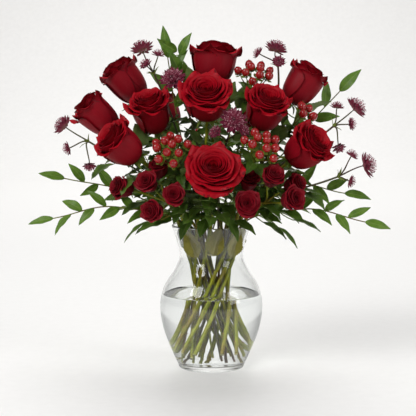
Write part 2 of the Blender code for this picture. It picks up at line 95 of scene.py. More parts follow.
# Rose stems have no prickles within NECK_REACH of NECK_HEIGHT. Their compound leaves start above
# LOWEST_LEAF, and the leaves' tips stay above LOWEST_TIP and within WIDEST_TIP of the axis.
NECK_HEIGHT = 0.155
NECK_REACH = 0.06
LOWEST_LEAF = 0.212
LOWEST_TIP = 0.205
WIDEST_TIP = 0.165

# The plants as the CAD has them. The tables are in millimetres and degrees.
# Large roses: centre, facing, diameter, height; then how far each has opened.
ROSES = [(metres(c), facing(*f), d / 1000, h / 1000, opened) for c, f, d, h, opened in (
    ((4, 20, 427), (60, 84), 82, 50, 0.65),
    ((-119, 40, 402), (172, 52), 68, 58, 0.35),
    ((-156, -4, 355), (176, 42), 64, 56, 0.35),
    ((-81, -34, 359), (-115, 60), 68, 54, 0.6),
    ((-119, -84, 317), (-152, 36), 68, 54, 0.55),
    ((-7, -52, 377), (-92, 48), 80, 50, 0.75),
    ((72, -50, 364), (-66, 53), 70, 54, 0.7),
    ((127, 24, 397), (5, 56), 68, 56, 0.45),
    ((126, -62, 312), (-40, 34), 70, 54, 0.65),
    ((2, -108, 281), (-88, 38), 80, 48, 1.0),
    ((-72, 92, 352), (125, 45), 70, 56, 0.6),
    ((66, 96, 346), (58, 42), 70, 56, 0.5),
)]

# Spray roses: where the stem forks, then each bloom's centre, facing and diameter.
SPRAYS = [(metres(fork), [(metres(c), facing(*f), d / 1000) for c, f, d in heads]) for fork, heads in (
    ((-56, -62, 238), (
        ((-118, -90, 262), (-145, 15), 33),
        ((-70, -76, 285), (-100, 62), 30),
        ((-84, -99, 269), (-110, 25), 33),
        ((-49, -113, 253), (-95, 20), 33),
        ((-77, -107, 233), (-115, 5), 33),
    )),
    ((70, -44, 236), (
        ((50, -78, 270), (-75, 50), 31),
        ((46, -119, 243), (-85, 12), 38),
        ((81, -101, 277), (-72, 35), 33),
        ((111, -68, 264), (-35, 25), 31),
        ((106, -105, 248), (-60, 15), 36),
    )),
    ((-8, 74, 246), (
        ((-34, 112, 280), (110, 30), 35),
        ((12, 118, 258), (80, 15), 34),
    )),
)]
SPRAY_HEIGHT_SHARE = 0.86

# Berry clusters: centre, facing, number of berries and spread.
BERRY_SPRIGS = [(metres(c), facing(*f), count, spread / 1000) for c, f, count, spread in (
    ((-54, -92, 313), (-112, 45), 11, 28),
    ((62, 2, 413), (-75, 55), 10, 26),
    ((128, -20, 360), (-20, 50), 6, 20),
    ((66, -100, 319), (-68, 44), 11, 26),
    ((-2, 114, 336), (92, 40), 8, 24),
)]
BERRY_RADIUS = 0.0055

# Masterwort: where the stem forks, the large head, its facing and diameter; then the small heads.
MASTERWORTS = [(metres(fork), metres(head), facing(*f), d / 1000, [metres(p) for p in small])
               for fork, head, f, d, small in (
    ((-80, 8, 414), (-97, 10, 450), (120, 60), 30,
     ((-74, 4, 442), (-92, -2, 428))),
    ((-38, -2, 374), (-54, -10, 408), (-110, 40), 35, ()),
    ((-168, -42, 322), (-204, -34, 344), (165, 35), 28,
     ((-196, -50, 313), (-165, -64, 290))),
    ((20, -66, 322), (29, -88, 352), (-85, 30), 34,
     ((5, -86, 337), (43, -93, 339))),
    ((94, 16, 424), (91, 12, 450), (40, 65), 31,
     ((66, 16, 444), (94, 2, 432))),
    ((168, -26, 342), (200, -22, 368), (5, 42), 32,
     ((174, -20, 370), (192, -36, 346), (174, -50, 314))),
    ((172, -50, 274), (213, -42, 290), (-8, 14), 34,
     ((192, -50, 304), (190, -52, 268))),
)]
SMALL_HEAD = 0.018

# Leaf sprigs: a point half way, the stem's end, the way the leaves face, their number and their length.
LEAF_SPRIGS = [(metres(via), metres(end), Vector(normal).normalized(), count, length / 1000)
               for via, end, normal, count, length in (
    ((-126, -46, 232), (-218, -40, 216), (-0.1, -1.0, 0.5), 10, 37),
    ((-110, -6, 246), (-204, -22, 270), (0.1, -1.0, 0.3), 9, 37),
    ((122, -34, 228), (212, -40, 211), (0.1, -1.0, 0.5), 10, 37),
    ((108, -12, 258), (184, -30, 250), (-0.1, -1.0, 0.4), 8, 38),
    ((-50, 34, 360), (-62, 36, 438), (0.0, -1.0, 0.3), 7, 46),
    ((134, 56, 334), (185, 54, 390), (0.0, -1.0, 0.2), 6, 44),
    ((30, 118, 226), (40, 190, 230), (0.2, 0.6, 1.0), 8, 36),
)]
LEAF_SLIMNESS = 0.33

# Leaves that hang over the rim: the rose's index, the leaf's base, tip and width.
COLLAR_LEAVES = [(rose, metres(base), metres(tip), width / 1000) for rose, base, tip, width in (
    (4, (-70, -46, 214), (-104, -62, 196), 20),
    (5, (-26, -56, 222), (-42, -80, 190), 20),
    (9, (20, -60, 220), (36, -78, 188), 19),
    (8, (70, -46, 212), (102, -66, 190), 21),
    (10, (-50, 62, 214), (-80, 90, 194), 22),
    (11, (60, 62, 212), (90, 88, 194), 22),
)]

# Leaves of the sprigs that the CAD leaves out: the sprig's number, the leaf's base and tip.
UPRIGHT_LEAVES = [(sprig, metres(base), metres(tip)) for sprig, base, tip in (
    (5, (-48, 34, 446), (-77, 30, 464)),
    (5, (-45, 34, 440), (-28, 30, 473)),
    (5, (-42, 32, 412), (-61, 24, 449)),
    (5, (-34, 32, 398), (-40, 20, 434)),
)]

# Loose leaves that the CAD leaves out: base, tip, width and whether the leaf is an old brown one.
LOOSE_LEAVES = [(metres(base), metres(tip), width / 1000, old) for base, tip, width, old in (
    ((-88, -64, 214), (-120, -74, 188), 12, 0),
    ((-60, -62, 213), (-99, -80, 205), 23, 0),
    ((-6, -56, 217), (-16, -82, 196), 20, 0),
    ((30, -54, 214), (60, -80, 200), 21, 0),
    ((90, -62, 207), (118, -74, 180), 12, 0),
    ((110, -58, 216), (149, -70, 203), 17, 0),
    ((122, 22, 352), (168, 16, 378), 30, 0),
    ((-100, 60, 222), (-142, 72, 216), 22, 0),
    ((104, 60, 222), (146, 70, 214), 22, 0),
    ((0, 56, 214), (-8, 88, 198), 22, 0),
    ((-20, -36, 160), (-36, -38, 201), 26, 1),
    ((2, -40, 164), (12, -47, 204), 30, 1),
    ((26, -30, 160), (40, -32, 200), 24, 1),
    ((-34, -62, 240), (-52, -84, 214), 22, 0),
    ((0, -62, 246), (-6, -96, 226), 24, 0),
    ((18, -60, 236), (30, -90, 222), 22, 0),
    ((70, -60, 236), (94, -84, 220), 22, 0),
    ((-90, -64, 240), (-122, -78, 226), 22, 0),
    ((-44, -58, 262), (-28, -92, 262), 22, 0),
    ((40, -58, 262), (26, -92, 258), 20, 0),
    ((-37, -10, 170), (-48, -10, 200), 18, 0),
    ((37, -6, 170), (49, -4, 199), 18, 1),
    ((14, 4, 372), (34, -4, 404), 26, 0),
    ((-18, 10, 392), (-35, 6, 425), 22, 0),
    ((-88, -30, 318), (-106, -46, 347), 24, 0),
    ((-18, -30, 318), (-36, -56, 344), 26, 0),
    ((6, -32, 320), (-4, -64, 344), 24, 0),
    ((34, -30, 316), (46, -58, 340), 24, 0),
    ((84, -20, 322), (104, -44, 344), 26, 0),
    ((98, 0, 340), (98, -14, 378), 26, 0),
    ((-60, 0, 336), (-46, -30, 360), 24, 0),
    ((-96, 20, 346), (-92, 0, 384), 24, 0),
    ((36, 30, 366), (54, 20, 402), 24, 0),
    ((-50, -42, 298), (-74, -66, 316), 24, 0),
    ((30, -52, 286), (44, -84, 296), 24, 0),
    ((100, -48, 272), (130, -74, 282), 24, 0),
    ((-100, -48, 262), (-137, -66, 272), 24, 0),
    ((-108, -38, 250), (-146, -52, 244), 20, 0),
    ((118, -44, 256), (152, -56, 250), 20, 0),
    ((-40, 70, 286), (-56, 106, 290), 26, 0),
    ((40, 74, 280), (52, 108, 290), 26, 0),
    ((0, 66, 320), (-20, 90, 356), 26, 0),
    ((16, 60, 340), (22, 76, 384), 26, 0),
    ((-20, 34, 168), (-30, 38, 198), 18, 0),
    ((22, 32, 168), (32, 36, 198), 18, 1),
)]


# Points, directions and curves.


def spoke(angle, rise=0.0):
    """A unit step from the Z axis at this angle, raised by rise."""
    return np.array([math.cos(angle), math.sin(angle), rise])


def placed(origin, axis):
    """A frame at origin whose Z lies along axis, as a 4 by 4 array."""
    return np.array(Matrix.Translation(origin) @ axis.to_track_quat("Z", "Y").to_matrix().to_4x4())


def moved(matrix, points):
    """points, an array whose last axis is xyz, taken through a 4 by 4 matrix."""
    return points @ matrix[:3, :3].T + matrix[:3, 3]


def beside(place, axis, angle, rise):
    """The unit vector that leaves place at this angle round its axis, raised by rise along it."""
    return (Vector(moved(placed(place, axis), spoke(angle, rise))) - place).normalized()


def cubic(a, b, c, d, t):
    """The place at t, from 0 to 1, on the Bezier curve with these four knots."""
    s = 1 - t
    return a * s**3 + b * 3 * s * s * t + c * 3 * s * t * t + d * t**3


def sweep(start, heading, end, arrival, count):
    """A smooth curve that leaves start along heading and reaches end along arrival."""
    reach = (end - start).length * 0.38
    knots = (start, start + heading * reach, end - arrival * reach, end)
    return [cubic(*knots, i / (count - 1)) for i in range(count)]


def outline_radius(height):
    """The vase's outside radius at a height: a smooth curve through VASE_OUTLINE."""
    last = len(VASE_OUTLINE) - 1
    i = max(k for k in range(last) if VASE_OUTLINE[k][0] <= height or k == 0)
    points = [VASE_OUTLINE[min(max(k, 0), last)] for k in range(i - 1, i + 3)]
    (z0, r0), (z1, r1), (z2, r2), (z3, r3) = points
    t = (height - z1) / (z2 - z1)
    slope1 = (r2 - r0) / (z2 - z0) * (z2 - z1)
    slope2 = (r3 - r1) / (z3 - z1) * (z2 - z1)
    rising = (2 * t**3 - 3 * t**2 + 1) * r1 + (t**3 - 2 * t**2 + t) * slope1
    return rising + (3 * t**2 - 2 * t**3) * r2 + (t**3 - t**2) * slope2


def inside_radius(height):
    return outline_radius(height) - WALL


# The bundle of stems, laid out as in the CAD.


def swing(height):
    """How far a stem has swung round at a height, as a share of its distance from the axis at the waist."""
    above = height - WAIST_HEIGHT
    ease = math.sqrt(above**2 + SWING_EASE**2) - SWING_EASE
    return (HIGH_SWING + LOW_SWING) / 2 * above + (HIGH_SWING - LOW_SWING) / 2 * ease


def stem_line(slot, height):
    """Where the stem through a waist slot is at this height. The slot's z is its hand, 1 or -1."""
    turn = slot.z * swing(height)
    return Vector((slot.x - turn * slot.y, slot.y + turn * slot.x, height))


def wished_slot(tip, hand):
    """The waist slot from which a stem of this hand swings towards tip."""
    out = tip - MOUTH
    polar = math.atan2(math.hypot(out.x, out.y), out.z)
    radius = RING_RADIUS if hand > 0 else CORE_RADIUS * math.sqrt(polar / (math.pi / 2))
    angle = math.atan2(out.y, out.x) - hand * math.radians(WAIST_TURN)
    return Vector((radius * math.cos(angle), radius * math.sin(angle), hand))


def parted(slots, radii, room, settle):
    """The slots moved apart until no two stems touch, each move followed by settle."""
    for _ in range(400):
        for i in range(len(slots)):
            for j in range(i):
                apart = slots[i].xy - slots[j].xy
                least = (radii[i] + radii[j] + 2 * GAP) * room
                if apart.length < least:
                    push = (apart.normalized() * (least - apart.length) / 2).to_3d()
                    slots[i] += push
                    slots[j] -= push
        slots = [settle(slot, radius) for slot, radius in zip(slots, radii)]
    return slots


def on_ring(slot, radius):
    flat = slot.xy.normalized() * RING_RADIUS
    return Vector((flat.x, flat.y, slot.z))


def in_core(slot, radius):
    share = min(1, (CORE_RADIUS - radius) / slot.xy.length)
    return Vector((slot.x * share, slot.y * share, slot.z))


def waist_slots(ring, core):
    """The slots of the ring's and the core's stems, each given as (radius, tip)."""
    outer = [wished_slot(tip, 1) for _, tip in ring]
    inner = [wished_slot(tip, -1) for _, tip in core]
    return (parted(outer, [r for r, _ in ring], RING_ROOM, on_ring)
            + parted(inner, [r for r, _ in core], CORE_ROOM, in_core))


def foot_height(slot, radius):
    """Where the stem ends: cut a little unevenly, and always clear of the vase's floor and wall."""
    height = FLOOR + 0.0015 + UNEVEN_CUT * (1 + math.sin(9 * math.atan2(slot.y, slot.x))) / 2
    while stem_line(slot, height).xy.length + radius * 1.8 + 0.0015 > inside_radius(height):
        height += 0.001
    return height


def straight_run(slot, radius):
    """The stem's centreline in the vase, from its cut end up."""
    foot = foot_height(slot, radius)
    return [stem_line(slot, z) for z in (foot, *STEM_LEVELS)]


def free_run(slot, tip, arrival, count, via=None):
    """The stem's centreline from the vase's neck to tip."""
    leave = stem_line(slot, FREE_HEIGHT)
    heading = (leave - stem_line(slot, FREE_HEIGHT - 0.01)).normalized()
    if via is None:
        return sweep(leave, heading, tip, arrival, count)
    passing = (tip - leave).normalized()
    first = sweep(leave, heading, via, passing, count // 2 + 2)
    return first + sweep(via, passing, tip, arrival, count // 2 + 1)[1:]


def stem_path(slot, radius, tip, arrival, count, via=None):
    """The stem's centreline from its cut end in the water to tip."""
    foot = foot_height(slot, radius)
    low = [stem_line(slot, foot + (FREE_HEIGHT - foot) * i / 14) for i in range(14)]
    return low + free_run(slot, tip, arrival, count, via)


# Meshes. Every point has a "flow" (across, along, its patch's own number) and a "tone" (front, kind, 0).


def shown(name, data):
    """An object with this data, in the scene."""
    obj = bpy.data.objects.new(name, data)
    bpy.context.scene.collection.objects.link(obj)
    return obj


class Skin:
    """Closed patches that together make one piece."""

    def __init__(self):
        self.points, self.faces, self.flow, self.tone, self.slots = [], [], [], [], []
        self.count = 0

    def add(self, points, faces, flow, front, kind, slot):
        self.points.append(points)
        self.faces += (faces + self.count).tolist()
        self.flow.append(flow)
        self.tone.append(np.stack([front, np.full(len(points), kind), np.zeros(len(points))], -1))
        self.slots += [slot] * len(faces)
        self.count += len(points)

    def sheet(self, grid, thick, number, slot=0):
        """A thin closed blade with tapered edges over grid[along, across]. Its front faces along x across."""
        rows, cols = grid.shape[:2]
        normal = np.cross(np.gradient(grid, axis=1), np.gradient(grid, axis=0))
        normal /= np.linalg.norm(normal, axis=2, keepdims=True) + 1e-12
        u = np.linspace(-1, 1, cols)[None, :] * np.ones((rows, 1))
        v = np.linspace(0, 1, rows)[:, None] * np.ones((1, cols))
        half = thick / 2 * (1 - 0.8 * np.maximum(np.abs(u) ** 10, v**14))[..., None]
        points = np.concatenate([grid + normal * half, grid - normal * half]).reshape(-1, 3)
        n = rows * cols
        index = np.arange(n).reshape(rows, cols)
        top = np.stack([index[:-1, :-1], index[:-1, 1:], index[1:, 1:], index[1:, :-1]], -1).reshape(-1, 4)
        loop = np.concatenate([index[0, :], index[1:, -1], index[-1, -2::-1], index[-2:0:-1, 0]])
        after = np.roll(loop, -1)
        rim = np.stack([after, loop, loop + n, after + n], -1)
        faces = np.concatenate([top, top[:, ::-1] + n, rim])
        flow = np.stack([u.ravel(), v.ravel(), np.full(n, number)], -1)
        self.add(points, faces, np.tile(flow, (2, 1)), np.repeat([0.0, 1.0], n), 0.0, slot)

    def rings(self, rings, number=0.0, kind=0.0, slot=0):
        """A closed body through rings[along, around], shut at both ends by a point in the middle."""
        rows, cols = rings.shape[:2]
        points = np.concatenate([rings.reshape(-1, 3), [rings[0].mean(0), rings[-1].mean(0)]])
        index = np.arange(rows * cols).reshape(rows, cols)
        after = np.roll(index, -1, 1)
        side = np.stack([index[:-1], after[:-1], after[1:], index[1:]], -1).reshape(-1, 4)
        start, end = np.full(cols, rows * cols), np.full(cols, rows * cols + 1)
        shut = np.stack([after[0], index[0], start, start], -1)
        top = np.stack([index[-1], after[-1], end, end], -1)
        along = np.concatenate([np.repeat(np.linspace(0, 1, rows), cols), [0, 1]])
        around = np.concatenate([np.tile(np.linspace(0, 1, cols, endpoint=False), rows), [0.5, 0.5]])
        flow = np.stack([around, along, np.full(len(points), number)], -1)
        self.add(points, np.concatenate([side, shut, top]), flow, np.ones(len(points)), kind, slot)

    def rod(self, path, radii, sides=10, **marks):
        """A round rod along path, with a radius for each point."""
        path = np.array([tuple(p) for p in path])
        radii = np.broadcast_to(radii, (len(path),))
        tangent = np.gradient(path, axis=0)
        tangent /= np.linalg.norm(tangent, axis=1, keepdims=True)
        across = np.array(Vector(tangent[0]).orthogonal().normalized())
        turn = np.linspace(0, 2 * math.pi, sides, endpoint=False)
        rings = []
        for point, along, radius in zip(path, tangent, radii):
            across = across - along * across.dot(along)
            across /= np.linalg.norm(across)
            other = np.cross(along, across)
            rings.append(point + radius * (np.cos(turn)[:, None] * across + np.sin(turn)[:, None] * other))
        self.rings(np.array(rings), **marks)

    def lathe(self, matrix, profile, sides=10, **marks):
        """A body turned about the frame's Z from (radius, height) pairs, bottom to top."""
        turn = np.linspace(0, 2 * math.pi, sides, endpoint=False)
        rings = [np.stack([r * np.cos(turn), r * np.sin(turn), np.full(sides, z)], -1) for r, z in profile]
        self.rings(moved(matrix, np.array(rings)), **marks)

    def piece(self, name, materials, slot, *nodes):
        """The finished object, riding on the root, in place of the CAD nodes named."""
        mesh = bpy.data.meshes.new(name)
        faces = [f[:3] if f[2] == f[3] else f for f in self.faces]
        mesh.from_pydata(np.concatenate(self.points), [], faces)
        for mark, values in (("flow", self.flow), ("tone", self.tone)):
            layer = mesh.attributes.new(mark, "FLOAT_VECTOR", "POINT")
            layer.data.foreach_set("vector", np.concatenate(values).astype(np.float32).ravel())
        for made in materials:
            mesh.materials.append(made)
        mesh.polygons.foreach_set("material_index", self.slots)
        mesh.shade_smooth()
        mesh.set_sharp_from_angle(angle=math.radians(75))
        obj = shown(name, mesh)
        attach(obj, "root")
        if nodes:
            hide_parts(*nodes)


# Roses.


def petal(layer, turn, half, height, opened, rng, cols, rows, point):
    """One petal in the bloom's frame: layer is 0 in the heart and 1 outside, half is the bloom's radius."""
    u = np.linspace(-1, 1, cols)[None, :]
    v = np.linspace(0, 1, rows)[:, None]
    outer = np.clip((layer - 0.45) / 0.55, 0, 1)
    belly = half * (0.13 + 0.55 * layer**0.80)
    rim = half * (0.07 + (0.63 + 0.12 * opened) * layer**0.92)
    sag = (0.10 + 0.16 * opened) * outer**1.5
    top = height * (0.93 + 0.07 * math.sin(math.pi * min(1, layer * 1.3)) - sag)
    top *= 1 + rng.uniform(-0.03, 0.03)
    rim *= 1 + rng.uniform(-0.04, 0.04)
    base = half * (0.07 + 0.12 * layer)
    knots = ((base, 0.02 * height), (belly * 0.96, 0.03 * height), (belly * 1.06, 0.52 * top), (rim, top))
    shoulder = 1 - (0.10 + 0.16 * outer) * np.abs(u) ** 2.6
    t = v * shoulder
    bend = 0.80
    r, z = (cubic(*[knot[k] for knot in knots], np.clip(t / bend, 0, 1)) for k in (0, 1))
    lean = math.atan2(knots[3][1] - knots[2][1], knots[3][0] - knots[2][0])
    peak = np.exp(-((u / 0.17) ** 2)) * outer * point
    reach = half * (0.05 + 0.23 * layer) * (1 + 0.75 * peak)
    roll = 0.35 + (1 + opened) * layer + 1.1 * outer
    roll = roll * (0.60 + np.abs(u) ** 1.3) * (1 - 0.40 * peak)
    run = reach * np.clip((t - bend) / (1 - bend), 0, 1)
    curl = roll / reach
    r = r + (math.sin(lean) - np.sin(lean - curl * run)) / curl
    z = z + (np.cos(lean - curl * run) - math.cos(lean)) / curl
    fan = np.sin(np.clip(t / 0.65, 0, 1) * math.pi / 2)
    spread = math.radians(152 - 88 * layer**0.6) * (0.40 + 0.60 * fan)
    pinch = 1 - 0.22 * outer * np.clip((t - 0.72) / 0.28, 0, 1) ** 1.5
    p1, p2, p3 = rng.uniform(0, 2 * math.pi, 3)
    ripple = t**2.5 * (0.35 + 0.65 * layer)
    r = r + half * ripple * (0.022 * np.sin(5.2 * u + p1) + 0.012 * np.sin(9.1 * u + p2))
    z = z + height * ripple * (0.022 * np.sin(4.1 * u + p3) + 0.010 * np.sin(8.3 * u + p1))
    r = r * (1 + 0.045 * u) + half * 0.05 * outer * np.abs(u) ** 4 * t
    a = turn + spread * pinch * u + 0.06 * np.sin(p2 + 3 * t) * outer
    return np.stack([r * np.cos(a), r * np.sin(a), z * np.ones_like(a)], -1)


def heart(skin, matrix, half, height, turn):
    """The tightly rolled middle of a bloom: a sheet wound round itself."""
    a = np.linspace(0, 3.4 * math.pi, 44)[None, :]
    v = np.linspace(0, 1, 9)[:, None]
    r = half * (0.012 + 0.0115 * a) * (1.25 - 0.30 * v)
    z = height * (0.45 + (0.475 - 0.006 * a) * v)
    grid = np.stack([r * np.cos(a + turn), r * np.sin(a + turn), z * np.ones_like(a)], -1)
    skin.sheet(moved(matrix, grid), 0.00035, 0.5)


def bloom(name, slot, made, centre, axis, diameter, height, opened, count, seed, fine=1.0, point=1.0):
    """A rose bloom of count petals wound at the golden angle round a rolled heart.

    fine scales the petals' meshes, and point the points of the outer petals.
    """
    rng = np.random.RandomState(seed)
    skin = Skin()
    matrix = placed(centre - axis * (height / 2), axis)
    start = rng.uniform(0, 2 * math.pi)
    heart(skin, matrix, diameter / 2, height, start)
    cols, rows = int(15 * fine) | 1, int(17 * fine)
    for k in range(count):
        layer = (k + 0.6) / (count - 0.4)
        turn = start + GOLDEN_ANGLE * k + rng.uniform(-0.12, 0.12)
        grid = petal(layer, turn, diameter / 2, height, opened, rng, cols, rows, point)
        skin.sheet(moved(matrix, grid), 0.0005 + 0.0003 * layer, rng.uniform())
    skin.piece(name, [made], slot, name)


# Green parts.

TOOTHED = {"arch": 0.05, "rows": 29, "cols": 9, "teeth": 13}


def blade(base, tip, width, normal, arch=0.06, fold=0.12, rows=19, cols=7,
          teeth=0, twist=0.0, shape=0.42, droop=0.0):
    """A leaf blade from base to tip: widest at shape, folded along its midrib, arched, toothed if asked."""
    base, tip, normal = (np.array(tuple(p), float) for p in (base, tip, normal))
    along = tip - base
    length = np.linalg.norm(along)
    along /= length
    side = np.cross(along, normal)
    side /= np.linalg.norm(side)
    up = np.cross(side, along)
    v = np.linspace(0, 1, rows)[:, None]
    u = np.linspace(-1, 1, cols)[None, :]
    power = math.log(0.5) / math.log(shape)
    outline = np.sin(math.pi * v**power) ** 0.82 * (1 - 0.22 * v**3) + 0.012
    if teeth:
        outline = outline * (1 - 0.16 * ((v * teeth) % 1.0) * (np.abs(u) > 0.95))
    half = width / 2 * outline
    angle = twist * (v - 0.3)
    wave = 0.035 * width * np.sin(v * 15 + 2 * u) * np.abs(u)
    rise = arch * length * 4 * v * (1 - v) - droop * length * v**2.2
    lift = np.abs(u) ** 1.4 * half * fold * 2 + wave
    across = side * np.cos(angle)[..., None] + up * np.sin(angle)[..., None]
    away = up * np.cos(angle)[..., None] - side * np.sin(angle)[..., None]
    spine = base + along * (length * v)[..., None] + up * rise[..., None]
    return spine + across * (u * half)[..., None] + away * lift[..., None]


def leaf(skin, base, tip, width, normal, number, thick=0.0005, slot=0, **form):
    """A blade with a midrib below it."""
    grid = blade(base, tip, width, normal, **form)
    skin.sheet(grid[:, ::-1], thick, number, slot=slot)
    middle = grid[:, grid.shape[1] // 2]
    up = np.array(tuple(normal), float)
    up /= np.linalg.norm(up)
    radii = np.linspace(0.0005, 0.00015, len(middle)) * (width / 0.018) ** 0.5
    skin.rod(middle - up * thick * 0.4, radii, 5, number=number, kind=1.0, slot=slot)


def stem(skin, path, radii, rng, sides=10, knots=0, **marks):
    """A stem with a slightly uneven skin and swollen joints."""
    path = np.array([tuple(p) for p in path])
    steps = np.linalg.norm(np.diff(path, axis=0), axis=1)
    length = np.concatenate([[0], np.cumsum(steps)])
    at = np.linspace(0, length[-1], max(24, int(length[-1] / 0.004)))
    fine = np.stack([np.interp(at, length, path[:, k]) for k in range(3)], -1)
    for _ in range(3):
        fine[1:-1] = 0.25 * fine[:-2] + 0.5 * fine[1:-1] + 0.25 * fine[2:]
    radius = np.interp(at, length, radii) * (1 + 0.03 * np.sin(at * 190 + rng.uniform(0, 6)))
    for place in rng.uniform(0.06, 0.9, knots):
        radius = radius * (1 + 0.22 * np.exp(-(((at - place * length[-1]) / 0.0022) ** 2)))
    skin.rod(fine, radius, sides, **marks)
    return fine, radius


def stalk(skin, line, base, tip, **marks):
    """A leaf's stalk, from the nearest point of line to the leaf's base."""
    anchor = min((Vector(p) for p in line), key=lambda p: (p - base).length)
    path = sweep(anchor, (base - anchor).normalized(), base.lerp(tip, 0.05), (tip - base).normalized(), 9)
    skin.rod(path, np.linspace(0.0010, 0.0007, 9), 8, **marks)


def thorn(skin, point, out, down, size):
    """A short hooked prickle."""
    tip = point + out * size - down * size * 0.35
    path = [point - out * size * 0.1, point + out * size * 0.5 - down * size * 0.05, tip]
    skin.rod(path, [size * 0.36, size * 0.18, size * 0.02], 6, kind=2.0)


def calyx(skin, tip, axis, stem_radius, length, rng, lie=0.45):
    """The hip under a bloom and its five sepals, which lie back from the petals."""
    s = stem_radius
    matrix = placed(tip - axis * 0.011, axis)
    profile = [(s * 0.8, 0), (s * 1.0, 0.002), (s * 1.9, 0.0055), (s * 1.75, 0.009), (s * 1.35, 0.0107)]
    skin.lathe(matrix, profile, 14)
    around = placed(tip - axis * 0.0012, axis)
    start = rng.uniform(0, 6)
    for i in range(5):
        a = start + 2 * math.pi * i / 5
        reach = length * rng.uniform(0.85, 1.15)
        dip = lie * rng.uniform(0.4, 1.4)
        out = spoke(a)
        base = moved(around, out * s * 0.9)
        end = moved(around, out * reach - np.array([0, 0, reach * dip]))
        leaf(skin, base, end, length * 0.30, axis, rng.uniform(), 0.0006,
             arch=0.16, rows=13, cols=5, shape=0.28)


def rose_leaf(skin, start, way, normal, size, rng, leaflets=5):
    """A rose's compound leaf: a thin stalk with one leaflet at its end and pairs below it."""
    way = way.normalized()
    side = way.cross(normal).normalized()
    normal = side.cross(way).normalized()
    length = size * (1.25 if leaflets == 5 else 0.85)
    end = start + way * length - normal * length * 0.10
    path = sweep(start, (way + normal * 0.25).normalized(), end, (way - normal * 0.3).normalized(), 9)
    skin.rod(path, np.linspace(0.00085, 0.0005, 9), 6, kind=1.0)
    tip = (path[-1] - path[-2]).normalized()
    places = [(path[-1], tip, 1.0)]
    for pair in range((leaflets - 1) // 2):
        k = 5 - 3 * pair
        for hand in (1, -1):
            out = (tip * 0.45 + side * hand + normal * rng.uniform(-0.15, 0.15)).normalized()
            places.append((path[k], out, 0.82 - 0.12 * pair))
    for base, out, share in places:
        long = size * share * rng.uniform(0.9, 1.1)
        lean = (normal + side * rng.uniform(-0.25, 0.25)).normalized()
        foot = base + out * 0.003
        skin.rod([base, foot + out * 0.001], 0.0005, 5, kind=1.0)
        leaf(skin, foot, foot + out * long - normal * long * 0.12, long * 0.66, lean, rng.uniform(), 0.0005,
             arch=0.05, fold=0.14, rows=29, cols=9, teeth=14, droop=0.10, twist=rng.uniform(-0.4, 0.4))


# Berries and masterwort.


def berry_places(centre, axis, count, spread):
    """Where a cluster's berries sit: a sunflower pattern over a shallow dome."""
    matrix = placed(centre, axis)
    places = []
    for i in range(count):
        share = math.sqrt((i + 0.35) / count)
        a = i * GOLDEN_ANGLE
        r = spread * share
        local = np.array([r * math.cos(a), r * math.sin(a), spread * 0.45 * (1 - share**2)])
        places.append(Vector(moved(matrix, local)))
    return places


def berry(skin, centre, axis, radius, rng):
    """A hypericum berry: a pointed egg on five rounded sepals, with three withered styles on its tip."""
    r = radius * rng.uniform(0.94, 1.04)
    turn = np.linspace(-math.pi / 2, math.pi / 2, 15)
    profile = [(max(r * math.cos(t) * (1 - 0.07 * math.sin(t)), 0.00012), r * 1.1 * math.sin(t))
               for t in turn]
    profile[-1] = (0.00025, r * 1.14)
    matrix = placed(centre, axis)
    skin.lathe(matrix, profile, 18, number=rng.uniform())
    for i in range(3):
        a = 2.1 * i + rng.uniform(0, 1)
        base = moved(matrix, np.array([0, 0, r * 1.10]))
        end = moved(matrix, np.array([0.0011 * math.cos(a), 0.0011 * math.sin(a), r * 1.10 + 0.0012]))
        skin.rod([base, (base + end) / 2, end], [0.00018, 0.00014, 0.00008], 5, slot=2)
    start = rng.uniform(0, 6)
    for i in range(5):
        a = start + 2 * math.pi * i / 5
        out = spoke(a)
        base = moved(matrix, out * r * 0.10 - np.array([0, 0, r * 1.12]))
        end = moved(matrix, out * r * 1.50 - np.array([0, 0, r * (0.50 + 0.3 * rng.uniform())]))
        grid = blade(base, end, r * 1.05, -axis, arch=0.16, fold=-0.10, rows=9, cols=5, shape=0.6)
        skin.sheet(grid, 0.0004, rng.uniform(), slot=1)


